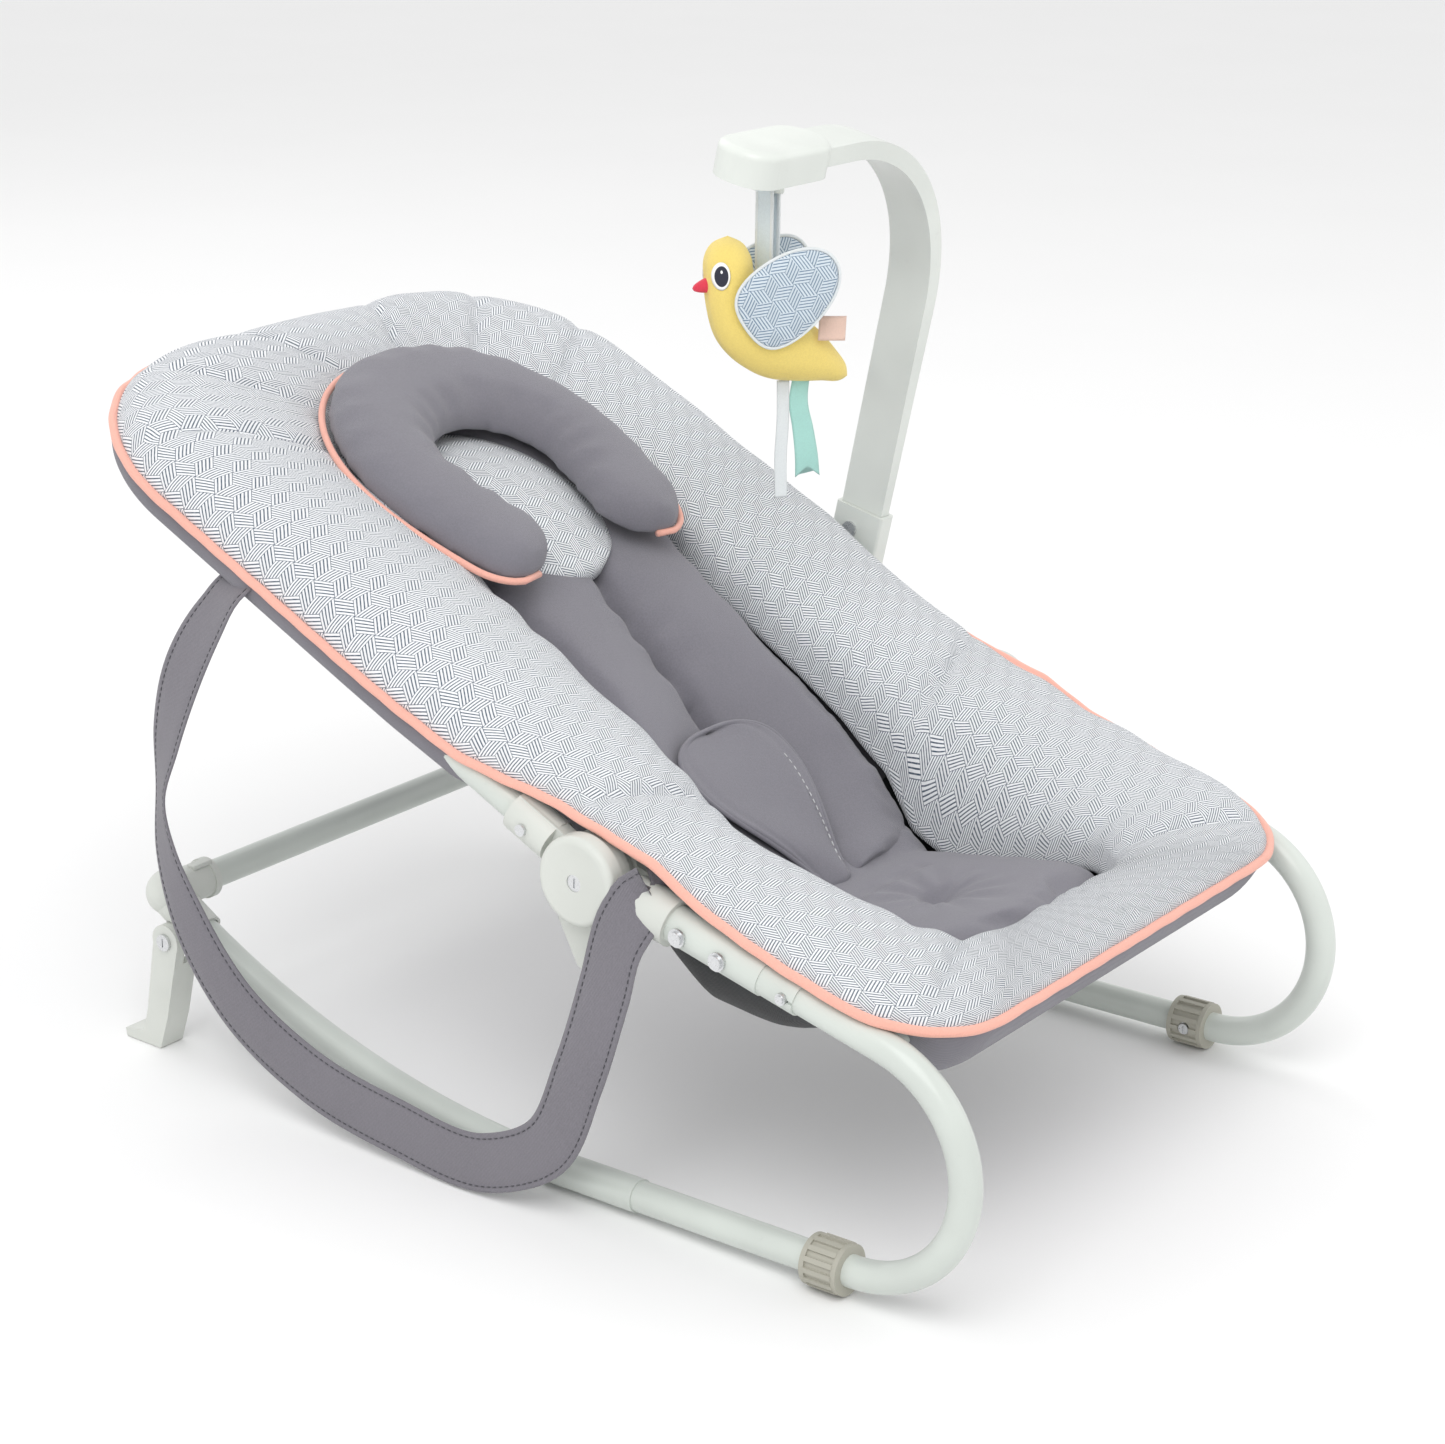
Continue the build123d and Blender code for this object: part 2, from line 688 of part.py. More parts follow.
def arch_arm():
    """Flat bowed arm that tapers towards its foot."""
    foot = arch_foot
    top = arch_height(arch_top_z)
    turn = top - arch_r
    out = arch_x + 4.4
    mid = out - arch_r
    root = head_x + 20
    thick = arch_top_thick
    knee = arch_r * (1 - cos(radians(45)))
    small = arch_r - thick
    inner_knee = small * (1 - cos(radians(45)))
    inner = (mid + small - inner_knee, top - thick - inner_knee)
    outline = Line((out, foot), (out, turn))
    outline += ThreePointArc((out, turn), (out - knee, top - knee), (mid, top))
    outline += Line((mid, top), (root, top))
    outline += Line((root, top), (root, top - thick))
    outline += Line((root, top - thick), (mid, top - thick))
    outline += ThreePointArc((mid, top - thick), inner, (out - thick, turn))
    outline += Line((out - thick, turn), (out - arch_low_thick, foot))
    outline += Line((out - arch_low_thick, foot), (out, foot))
    frame = arch_frame()
    side_view = Plane(origin=frame.origin, x_dir=(1, 0, 0), z_dir=-frame.y_dir)
    arm = extrude(side_view * make_face(outline.edges()), amount=arch_width / 2 - 0.3, both=True)
    head = Box(head_long, head_wide, head_thick)
    head = fillet(head.edges().filter_by(Axis.Z), 19)
    head = fillet(head.edges().group_by(Axis.Z)[-1], 5)
    head = frame * Pos(head_x, 0, top + 5 - head_thick / 2) * head
    screw = arch_point(arch_x, *arch_screw_at)
    return arm + head - x_cylinder(3.0, side_x, arch_x + 20, screw.Y, screw.Z)


def arch_screw():
    """Screw through the sleeve and the arm's foot."""
    spot = arch_point(arch_x, *arch_screw_at)
    shank = x_cylinder(3.0, arch_x - 7.5, arch_x + 7.5, spot.Y, spot.Z)
    head = x_cylinder(5.5, arch_x - 9.4, arch_x - 7.5, spot.Y, spot.Z)
    nut = x_cylinder(5.0, arch_x + 7.5, arch_x + 9.4, spot.Y, spot.Z)
    return shank + head + nut


# ---------------------------------------------------------------- hanging toy

def hook_spot():
    """Centre of the hook's bar, below the middle of the arch's head."""
    under = arch_point(toy_x, 0, arch_height(arch_top_z) + 5 - head_thick)
    return Pos(toy_x, under.Y, under.Z - hook_drop)


def toy_hook():
    """Two posts and a round bar under the arch's head."""
    bar = Rot(90, 0, 0) * Cylinder(hook_r, 21)
    for way in (-1, 1):
        bar += Pos(0, way * 9.25, 5.5) * Box(4, 2.5, 13)
    return hook_spot() * bar - arch_arm()


def toy_ribbon():
    """Ribbon loop from the hook's bar down to the bird's back."""
    top = hook_r + 0.4 + ribbon_thick
    middle = Pos(0, 0, top - ribbon_drop / 2)
    band = middle * Box(ribbon_gap + 2 * ribbon_thick, 13.0, ribbon_drop)
    inner = middle * Box(ribbon_gap, 20, ribbon_drop - 2 * ribbon_thick)
    return hook_spot() * (band - inner)


def toy_frame():
    """Frame of the bird: its own X points to the beak."""
    a = radians(bird_turn)
    spot = hook_spot().position
    origin = (spot.X, spot.Y, spot.Z - bird_drop)
    return Plane(origin=origin, x_dir=(-cos(a), -sin(a), 0), z_dir=(0, 0, 1))


def bird_body():
    """Stuffed body with head and tail."""
    body = Rot(0, -24, 0) * scale(Sphere(1), (46, 18, 26))
    head = Pos(*bird_head_at) * Sphere(bird_head_r)
    neck = Pos(27, 0, 24) * Sphere(20)
    tail = Pos(-46, 0, -29) * Rot(0, -72, 0) * Cone(13, 3.5, 36)
    body = Pos(-2, 0, -6.5) * body + head + neck + tail
    return toy_frame() * body


def bird_wings():
    """Two flat padded wings, one on each side."""
    wings = []
    for side in (-1, 1):
        shape = Ellipse(39, 23)
        wing = extrude(Plane.XZ * Rot(0, 0, 28) * shape, amount=3.5, both=True)
        wings.append(toy_frame() * Pos(-16, side * 24.2, 8) * wing)
    return Compound(wings)


def bird_beak():
    """Small felt beak."""
    beak = Pos(54.2, 0, 37) * Rot(0, 100, 0) * Cone(5.5, 1.0, 9)
    return toy_frame() * (beak - Pos(*bird_head_at) * Sphere(bird_head_r))


def toy_tag():
    """Blank folded label at the tail."""
    return toy_frame() * Pos(-47, -20.0, -13) * Rot(0, 24, 0) * Box(20, 1.0, 15)


def mint_ribbon():
    """Loose coloured ribbon with a notched end."""
    points = [(-6.5, 0), (6.5, 0), (3.5, -62), (-3.5, -54), (-10.5, -60)]
    face = make_face(Polyline(*points, close=True))
    band = extrude(Plane.XZ * face, amount=0.5, both=True)
    return toy_frame() * Pos(-24, 4.0, -41.5) * band


def white_ribbon():
    """Longer plain ribbon."""
    return toy_frame() * Pos(-12, 0, -74.5) * Box(8, 1.0, 76)


# ---------------------------------------------------------------- carry straps

def carry_strap(side):
    """Webbing carry strap, hanging slack between the back and the hub."""
    route = [
        (158, 356),
        (196, 320),
        (222, 262),
        (236, 196),
        (222, 120),
        (178, 72),
        (96, 39),
        (20, 25),
        (-38, 25),
        (-76, 53),
        (-98, 100),
        (-118, 152),
        (-140, 190),
    ]
    pieces = []
    x = side * strap_x
    line = Spline(*[(y, z) for y, z in route])
    left = []
    right = []
    count = 26
    for i in range(count + 1):
        t = i / count
        point = line @ t
        way = line % t
        left.append((point.X - way.Y * strap_half, point.Y + way.X * strap_half))
        right.append((point.X + way.Y * strap_half, point.Y - way.X * strap_half))
    outline = left + right[::-1]
    low = x - strap_thick / 2
    return prism_x(outline, low, low + strap_thick)


# ---------------------------------------------------------------- write
parts = {
    "rear_cross_tube": cross_tube(),
    "foot_pins": foot_pins(),
    "ring_screws": ring_screws(),
    "rail_bolts": rail_bolts(),
    "hub_pins": hub_pins(),
    "hub_screws": hub_screws(),
    "back_tube": back_tube(),
    "socket_rivets": socket_rivets(),
    "front_bar": front_bar(),
    "head_bolster": head_bolster(),
    "back_pad": back_pad(),
    "back_sling": back_sling(),
    "head_pillow": head_pillow(),
    "pillow_panel": pillow_panel(),
    "back_piping": back_piping(),
    "seat_piping": seat_piping(),
    "front_bolster": front_bolster(),
    "seat_pad": seat_pad(),
    "seat_sling": seat_sling(),
    "hip_sling": hip_sling(),
    "crotch_flap": crotch_flap(),
    "arch_socket": arch_socket(),
    "arch_arm": arch_arm(),
    "arch_screw": arch_screw(),
    "toy_hook": toy_hook(),
    "toy_ribbon": toy_ribbon(),
    "bird_body": bird_body(),
    "bird_wings": bird_wings(),
    "bird_beak": bird_beak(),
    "toy_tag": toy_tag(),
    "mint_ribbon": mint_ribbon(),
    "white_ribbon": white_ribbon(),
}
for name, side in (("left", 1), ("right", -1)):
    parts["front_tube_" + name] = front_tube(side)
    parts["runner_tube_" + name] = runner_tube(side)
    parts["corner_fitting_" + name] = corner_fitting(side)
    parts["stop_foot_" + name] = stop_foot(side)
    parts["floor_ring_" + name] = floor_ring(side)
    parts["seat_rail_" + name] = seat_rail(side)
    parts["snap_button_" + name] = snap_button(side)
    parts["seat_hub_" + name] = seat_hub(side)
    parts["recline_lever_" + name] = recline_lever(side)
    parts["back_hub_" + name] = back_hub(side)
    parts["hub_cap_" + name] = hub_cap(side)
    parts["back_bolster_" + name] = back_bolster(side)
    parts["seat_bolster_" + name] = seat_bolster(side)
    parts["carry_strap_" + name] = carry_strap(side)

os.makedirs("parts", exist_ok=True)
for name, shape in parts.items():
    export_step(Pos(0, origin_shift, 0) * shape, "parts/" + name + ".step")
print(len(parts), "parts written")
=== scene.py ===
import math
import bpy
import bmesh
import numpy as np
from mathutils import Matrix, Vector
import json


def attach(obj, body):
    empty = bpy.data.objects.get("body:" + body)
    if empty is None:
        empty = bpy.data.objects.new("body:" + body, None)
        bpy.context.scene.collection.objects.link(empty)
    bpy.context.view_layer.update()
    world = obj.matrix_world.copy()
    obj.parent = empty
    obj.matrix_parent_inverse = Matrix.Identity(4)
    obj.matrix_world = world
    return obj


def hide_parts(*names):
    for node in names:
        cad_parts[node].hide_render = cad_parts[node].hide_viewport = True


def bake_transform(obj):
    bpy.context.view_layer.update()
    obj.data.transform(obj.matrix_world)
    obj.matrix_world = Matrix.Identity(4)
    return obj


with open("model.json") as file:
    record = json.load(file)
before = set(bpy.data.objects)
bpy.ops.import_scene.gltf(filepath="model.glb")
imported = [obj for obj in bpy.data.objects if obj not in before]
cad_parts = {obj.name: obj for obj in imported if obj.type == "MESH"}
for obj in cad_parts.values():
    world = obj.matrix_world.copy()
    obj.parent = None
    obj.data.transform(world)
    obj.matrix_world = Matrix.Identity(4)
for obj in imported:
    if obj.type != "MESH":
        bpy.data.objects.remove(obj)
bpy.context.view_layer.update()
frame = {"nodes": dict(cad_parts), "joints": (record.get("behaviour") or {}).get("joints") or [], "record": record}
nodes = frame["nodes"]
joints = {j["name"]: j for j in frame["joints"]}
mm = 0.001
print("frame loaded,", len(nodes), "nodes")

# the seat's own coordinates: x across, s up the slope from the hub axis, h off the tubes' plane, in millimetres
recline = {"seatSlope": 13.5, "backSlope": 25.5, "bend": 30.0}
hub = [c / mm for c in joints["back_recline"]["pos_m"]]


def smooth(t):
    t = np.clip(t, 0, 1)
    return t * t * (3 - 2 * t)


lineS = np.arange(-400.0, 600.0, 1.0)
lineTurn = smooth((lineS + recline["bend"]) / (2 * recline["bend"]))
lineSlope = np.radians(recline["seatSlope"] + (recline["backSlope"] - recline["seatSlope"]) * lineTurn)
lineY = np.cumsum(np.cos(lineSlope))
lineZ = np.cumsum(np.sin(lineSlope))
lineY += hub[1] - np.interp(0, lineS, lineY)
lineZ += hub[2] - np.interp(0, lineS, lineZ)


def lay(x, s, h):
    # a point is the bent slope line at s, moved h along its normal; result in metres
    a = np.interp(s, lineS, lineSlope)
    y = np.interp(s, lineS, lineY) - h * np.sin(a)
    z = np.interp(s, lineS, lineZ) + h * np.cos(a)
    return np.stack(np.broadcast_arrays(x, y, z), -1) * mm


def unlay(points):
    # nearest place on the slope line gives s, and the offset along its normal gives h
    p = points / mm
    near = np.abs((p[:, None, 1] - lineY[None, ::4]) * np.cos(lineSlope[::4])
                  + (p[:, None, 2] - lineZ[None, ::4]) * np.sin(lineSlope[::4])).argmin(1) * 4
    a = lineSlope[near]
    dy, dz = p[:, 1] - lineY[near], p[:, 2] - lineZ[near]
    return p[:, 0], lineS[near] + dy * np.cos(a) + dz * np.sin(a), dz * np.cos(a) - dy * np.sin(a)


# meshes from grids of points
def surface(name, grid, closedU=False, closedV=False, uv=None, merge=False, material=None):
    # joins neighbouring grid points by quads; a closed direction wraps round
    nu, nv = grid.shape[:2]
    i, j = np.meshgrid(np.arange(nu if closedU else nu - 1), np.arange(nv if closedV else nv - 1), indexing="ij")
    ui = np.stack([i, i + 1, i + 1, i], -1).reshape(-1, 4)
    vi = np.stack([j, j, j + 1, j + 1], -1).reshape(-1, 4)
    mesh = bpy.data.meshes.new(name)
    mesh.from_pydata(grid.reshape(-1, 3).tolist(), [], ((ui % nu) * nv + vi % nv).tolist())
    if uv is not None:
        mesh.uv_layers.new(name="cloth").data.foreach_set("uv", uv[ui, vi].astype(np.float32).reshape(-1))
    return finishMesh(name, mesh, merge, material)


def finishMesh(name, mesh, merge=False, material=None):
    if merge:
        bm = bmesh.new()
        bm.from_mesh(mesh)
        bmesh.ops.remove_doubles(bm, verts=bm.verts, dist=1e-6)
        bmesh.ops.recalc_face_normals(bm, faces=bm.faces)
        bm.to_mesh(mesh)
        bm.free()
    mesh.polygons.foreach_set("use_smooth", np.ones(len(mesh.polygons), bool))
    obj = bpy.data.objects.new(name, mesh)
    bpy.context.scene.collection.objects.link(obj)
    if material:
        mesh.materials.append(material)
    return obj


def subdivide(obj, levels=1):
    mod = obj.modifiers.new("Soften", "SUBSURF")
    mod.levels = levels
    mod.render_levels = levels
    return obj


def alongPath(points):
    # unit tangents and running length of a path
    step = np.gradient(points, axis=0)
    tangent = step / np.linalg.norm(step, axis=1, keepdims=True)
    run = np.concatenate([[0], np.cumsum(np.linalg.norm(np.diff(points, axis=0), axis=1))])
    return tangent, run


def smoothPath(points, count):
    # natural curve through the points: each span is a cubic with averaged end slopes
    points = np.asarray(points, float)
    knots = np.concatenate([[0], np.cumsum(np.linalg.norm(np.diff(points[:, :3], axis=0), axis=1))])
    slopes = np.gradient(points, knots, axis=0)
    t = np.linspace(0, knots[-1], count)
    k = np.clip(np.searchsorted(knots, t, side="right") - 1, 0, len(points) - 2)
    w = (knots[k + 1] - knots[k])[:, None]
    u = ((t - knots[k])[:, None]) / w
    return ((2 * u ** 3 - 3 * u ** 2 + 1) * points[k] + (u ** 3 - 2 * u ** 2 + u) * w * slopes[k]
            + (3 * u ** 2 - 2 * u ** 3) * points[k + 1] + (u ** 3 - u ** 2) * w * slopes[k + 1])


def roundCord(name, points, radius, sides=10, closed=False, side=None, material=None):
    # a circle carried along the path, square to it
    if closed:
        step = np.roll(points, -1, 0) - np.roll(points, 1, 0)
        tangent = step / np.linalg.norm(step, axis=1, keepdims=True)
    else:
        tangent = alongPath(points)[0]
    ref = np.tile([[1.0, 0, 0]], (len(points), 1)) if side is None else side
    up = np.cross(tangent, ref)
    up /= np.linalg.norm(up, axis=1, keepdims=True) + 1e-12
    right = np.cross(up, tangent)
    q = np.linspace(0, 2 * math.pi, sides, endpoint=False)
    r = np.full(len(points), radius, float) if np.isscalar(radius) else radius
    grid = points[:, None] + r[:, None, None] * (np.cos(q)[None, :, None] * right[:, None]
                                                 + np.sin(q)[None, :, None] * up[:, None])
    if not closed:
        grid = np.concatenate([np.repeat(points[:1, None], sides, 1), grid, np.repeat(points[-1:, None], sides, 1)])
    return surface(name, grid, closedU=closed, closedV=True, merge=True, material=material)


# materials
class Finish:
    def __init__(self, name, rough, sheen=0.0, specular=0.5, coat=0.0, metal=0.0):
        self.material = bpy.data.materials.new(name)
        self.material.use_nodes = True
        self.tree = self.material.node_tree
        self.shader = self.tree.nodes["Principled BSDF"]
        values = {"Roughness": rough, "Sheen Weight": sheen, "Specular IOR Level": specular, "Coat Weight": coat,
                  "Metallic": metal, "Sheen Roughness": 0.5}
        for key, value in values.items():
            self.shader.inputs[key].default_value = value

    def node(self, kind, inputs=(), **settings):
        n = self.tree.nodes.new(kind)
        for key, value in settings.items():
            setattr(n, key, value)
        for key, value in dict(inputs).items():
            if isinstance(value, bpy.types.NodeSocket):
                self.tree.links.new(value, n.inputs[key])
            else:
                n.inputs[key].default_value = value
        return n

    def math(self, operation, a, b=0.0, c=0.0):
        return self.node("ShaderNodeMath", {0: a, 1: b, 2: c}, operation=operation).outputs[0]

    def vector(self, operation, a, b=(0, 0, 0), c=(0, 0, 0)):
        n = self.node("ShaderNodeVectorMath", {0: a, 1: b, 2: c}, operation=operation)
        return n.outputs["Value" if operation == "DOT_PRODUCT" else "Vector"]

    def mixColour(self, factor, a, b):
        n = self.node("ShaderNodeMix", {0: factor, 6: a, 7: b}, data_type="RGBA")
        return n.outputs[2]

    def mixVector(self, factor, a, b):
        return self.node("ShaderNodeMix", {0: factor, 4: a, 5: b}, data_type="VECTOR").outputs[1]

    def mixValue(self, factor, a, b):
        return self.node("ShaderNodeMix", {0: factor, 2: a, 3: b}, data_type="FLOAT").outputs[0]

    def noise(self, where, scale, detail=3.0, rough=0.5):
        n = self.node("ShaderNodeTexNoise", {"Vector": where, "Scale": scale, "Detail": detail, "Roughness": rough})
        return n.outputs["Fac"]

    def ramp(self, value, low, high, start=0.0, end=1.0):
        n = self.node("ShaderNodeMapRange", {0: value, 1: low, 2: high, 3: start, 4: end})
        n.interpolation_type = "SMOOTHSTEP"
        return n.outputs[0]

    def coords(self, uv=False):
        return self.node("ShaderNodeTexCoord").outputs["UV" if uv else "Object"]

    def bump(self, height, distance, strength=1.0):
        n = self.node("ShaderNodeBump", {"Height": height, "Distance": distance, "Strength": strength})
        self.tree.links.new(n.outputs["Normal"], self.shader.inputs["Normal"])

    def colour(self, socket):
        self.tree.links.new(socket, self.shader.inputs["Base Color"])

    def roughness(self, socket):
        self.tree.links.new(socket, self.shader.inputs["Roughness"])


def shade(rgb, k):
    return tuple(min(1.0, c * k) for c in rgb) + (1.0,)


def paintFinish(name, rgb, rough=0.32, grain=900, bump=0.00002, coat=0.15, wear=0.93):
    # even tone with slow drift, faint scuffs, and a fine orange peel
    f = Finish(name, rough, coat=coat)
    where = f.coords()
    slow = f.ramp(f.noise(where, 14, 2), 0.3, 0.7)
    scuff = f.ramp(f.noise(where, 120, 6, 0.65), 0.62, 0.74)
    tone = f.mixColour(slow, shade(rgb, wear), shade(rgb, 1.03))
    f.colour(f.mixColour(f.math("MULTIPLY", scuff, 0.25), tone, shade(rgb, 0.86)))
    f.roughness(f.math("ADD", f.math("MULTIPLY", scuff, 0.15), rough))
    f.bump(f.noise(where, grain, 2), bump)
    return f.material


def steelFinish(name):
    # brushed zinc: streaks stretched along one axis
    f = Finish(name, 0.3, metal=1.0)
    where = f.coords()
    streak = f.noise(f.vector("MULTIPLY", where, (60, 900, 900)), 1.0, 3)
    f.colour(f.mixColour(streak, (0.55, 0.56, 0.57, 1), (0.80, 0.81, 0.82, 1)))
    f.roughness(f.ramp(streak, 0.2, 0.8, 0.22, 0.42))
    f.bump(streak, 0.00002)
    return f.material


def weaveHeight(f, where, pitch):
    # over-and-under threads: two crossed waves, one shifted by the other's sign
    x = f.node("ShaderNodeSeparateXYZ", {0: where})
    warp = f.math("SINE", f.math("MULTIPLY", f.math("ADD", x.outputs[0], x.outputs[2]), 6.2832 / pitch))
    weft = f.math("SINE", f.math("MULTIPLY", f.math("ADD", x.outputs[1], f.math("MULTIPLY", x.outputs[2], 0.6)),
                                 6.2832 / pitch))
    return f.math("MULTIPLY", warp, weft)


def clothFinish(name, rgb, rough=0.85, sheen=0.25, pitch=0.0009, heather=0.10, bump=0.00012):
    # plain weave, heathered threads and slow shade drift
    f = Finish(name, rough, sheen=sheen, specular=0.25)
    where = f.coords()
    weave = weaveHeight(f, where, pitch)
    heathered = f.noise(where, 900, 2, 0.7)
    slow = f.noise(where, 9, 3)
    tone = f.mixColour(f.ramp(slow, 0.3, 0.7), shade(rgb, 1 - heather * 0.6), shade(rgb, 1 + heather * 0.5))
    tone = f.mixColour(f.ramp(heathered, 0.35, 0.65, 0, 0.5), tone, shade(rgb, 1 + heather * 2.2))
    f.colour(f.mixColour(f.ramp(weave, -1, 1, 0, 0.25), tone, shade(rgb, 1 - heather)))
    wrinkle = f.math("MULTIPLY", f.noise(where, 42, 4, 0.6), 5.0)
    f.bump(f.math("ADD", f.math("ADD", weave, f.math("MULTIPLY", heathered, 0.8)), wrinkle), bump)
    return f.material


def blockPrint(name, ground, ink, pitch=0.0175, lines=10.0, depth=1.0):
    # tumbling blocks: the nearest hexagon centre, its three rhombi, and hatch lines along one edge of each
    f = Finish(name, 0.86, sheen=0.2, specular=0.25)
    uv = f.coords(uv=True)
    flat = f.vector("MULTIPLY", uv, (1 / pitch, 1 / pitch, 0))
    bound = (0.5, math.sqrt(3) / 2, 1)
    a = f.vector("WRAP", flat, bound, tuple(-c for c in bound))
    b = f.vector("WRAP", f.vector("SUBTRACT", flat, (0.5, math.sqrt(3) / 2, 0)), bound, tuple(-c for c in bound))
    nearB = f.math("LESS_THAN", f.vector("DOT_PRODUCT", b, b), f.vector("DOT_PRODUCT", a, a))
    cell = f.mixVector(nearB, a, b)
    faces = [f.vector("DOT_PRODUCT", cell, (math.cos(q), math.sin(q), 0)) for q in np.radians([90, 210, 330])]
    hatch = [f.vector("DOT_PRODUCT", cell, (-math.sin(q), math.cos(q), 0)) for q in np.radians([30, 150, 270])]
    isTwo = f.math("GREATER_THAN", faces[1], f.math("MAXIMUM", faces[0], faces[2]))
    isThree = f.math("GREATER_THAN", faces[2], f.math("MAXIMUM", faces[0], faces[1]))
    across = f.mixValue(isThree, f.mixValue(isTwo, hatch[0], hatch[1]), hatch[2])
    wobble = f.math("MULTIPLY", f.math("SUBTRACT", f.noise(uv, 260, 2), 0.5), 0.012)
    mark = f.math("PINGPONG", f.math("MULTIPLY", f.math("ADD", across, wobble), lines), 0.5)
    line = f.ramp(mark, 0.13, 0.23, 1.0, 0.0)  # 0.5 is halfway between two lines
    uneven = f.ramp(f.noise(uv, 500, 3), 0.2, 0.6, 0.75, 1.0)
    inkAmount = f.math("MULTIPLY", line, uneven)
    slow = f.noise(uv, 8, 2)
    base = f.mixColour(slow, shade(ground, 0.96), shade(ground, 1.03))
    base = f.mixColour(f.math("MULTIPLY", isTwo, 0.35), base, shade(ground, 0.80))
    f.colour(f.mixColour(f.math("MULTIPLY", inkAmount, depth), base, ink + (1.0,)))
    weave = weaveHeight(f, uv, 0.0008)
    f.bump(f.math("ADD", weave, f.math("MULTIPLY", f.noise(uv, 45, 4, 0.6), 5.0)), 0.00011)
    return f.material


looks = {
    "frame_paint": paintFinish("frame_paint", (0.60, 0.64, 0.60), 0.30),
    "frame_plastic": paintFinish("frame_plastic", (0.62, 0.64, 0.60), 0.42, grain=1600, coat=0.0),
    "ring_rubber": paintFinish("ring_rubber", (0.42, 0.41, 0.35), 0.6, grain=1200, bump=0.00004, coat=0.0),
    "bright_steel": steelFinish("bright_steel"),
    "collar_print": blockPrint("collar_print", (0.90, 0.91, 0.93), (0.045, 0.075, 0.12)),
    "grey_cloth": clothFinish("grey_cloth", (0.215, 0.208, 0.238)),
    "black_cloth": clothFinish("black_cloth", (0.018, 0.02, 0.022), sheen=0.1),
    "strap_webbing": clothFinish("strap_webbing", (0.20, 0.19, 0.215), pitch=0.0012, bump=0.00016),
    "coral_piping": clothFinish("coral_piping", (0.90, 0.46, 0.37), pitch=0.0012, heather=0.05),
    "arch_plastic": paintFinish("arch_plastic", (0.70, 0.73, 0.69), 0.34, grain=1500, coat=0.1),
    "toy_ribbon": clothFinish("toy_ribbon", (0.72, 0.80, 0.84), heather=0.05),
    "toy_yellow": clothFinish("toy_yellow", (0.90, 0.70, 0.20), heather=0.06),
    "toy_print": blockPrint("toy_print", (0.70, 0.77, 0.83), (0.13, 0.22, 0.33), pitch=0.0165, lines=9.0),
    "toy_red": clothFinish("toy_red", (0.74, 0.05, 0.09), heather=0.05),
    "toy_tag": clothFinish("toy_tag", (0.92, 0.66, 0.55), pitch=0.0006, heather=0.04),
    "mint_ribbon": clothFinish("mint_ribbon", (0.47, 0.83, 0.75), rough=0.5, pitch=0.0006, heather=0.04),
    "white_ribbon": clothFinish("white_ribbon", (0.80, 0.84, 0.85), pitch=0.0008, heather=0.04),
}
slotOf = {p["node"]: p["material_slot"] for p in frame["record"]["subparts"]}
for name, obj in nodes.items():
    obj.data.materials.clear()
    obj.data.materials.append(looks[slotOf[name]])
    obj.data.polygons.foreach_set("material_index", np.zeros(len(obj.data.polygons), np.int32))
threadPale = clothFinish("thread_pale", (0.80, 0.80, 0.82), pitch=0.0004)
threadDark = clothFinish("thread_dark", (0.07, 0.07, 0.085), pitch=0.0004)
print("finishes made")

# the collar: one padded ring of printed cloth from the piping in to the pads
rim = {"half": 214.0, "front": 243.0, "frontR": 66.0, "head": 492.0, "headR": 118.0}
throat = {"half": 95.0, "front": 188.0, "frontR": 36.0, "head": 384.0, "headR": 74.0}
ringCounts = (26, 20, 130, 40, 26)
rimHeight = ((-243, -200, -140, -75, -38, 0, 38, 75, 110, 200, 492), (15, 14, 15.5, 21, 30, 30, 25, 15, 8, 6, 7))
rimInset = ((-300, -110, -55, 0, 55, 110, 160, 500), (2, 2, 5, 6, 5, -2, -4.5, -4.5))
throatHeight = ((-188, -162, -122, -90, -60, -32, -4, 37, 84, 140, 220, 384),
                (6, -2, -20, -36, -46, -40, -12, 0, 6, 11, 16, 22))
crestHeight = ((-243, -180, -120, -60, 0, 66, 150, 300, 430, 492), (28, 30, 33, 35, 40, 43, 47, 50, 46, 40))


def table(pairs, s):
    return np.interp(s, pairs[0], pairs[1])


def squared(wave, power):
    # a circle's sine or cosine, made fuller (power under 1) or leaner
    return np.sign(wave) * np.abs(wave) ** power


def closedMap(a, b):
    # flat places for a grid that wraps round: its first column is repeated at the end
    return np.stack([np.append(a, a[:, :1], 1), np.append(b, b[:, :1], 1)], -1)


def ringPath(half, front, frontR, head, headR):
    # half a rounded rectangle from the foot end's middle round to the head end's middle, then its mirror image
    k = [np.linspace(0, 1, n, endpoint=False) for n in ringCounts]
    q = [v * math.pi / 2 for v in k]
    x = np.concatenate([(half - frontR) * k[0], half - frontR + frontR * np.sin(q[1]), half + 0 * k[2],
                        half - headR + headR * np.cos(q[3]), (half - headR) * (1 - k[4]), [0.0]])
    s = np.concatenate([-front + 0 * k[0], -front + frontR * (1 - np.cos(q[1])),
                        frontR - front + (head - headR + front - frontR) * k[2],
                        head - headR + headR * np.sin(q[3]), head + 0 * k[4], [head]])
    return np.concatenate([x, -x[-2:0:-1]]), np.concatenate([s, s[-2:0:-1]])


def ringNormal(x, s):
    tx, ts = np.roll(x, -1) - np.roll(x, 1), np.roll(s, -1) - np.roll(s, 1)
    size = np.hypot(tx, ts)
    return ts / size, -tx / size


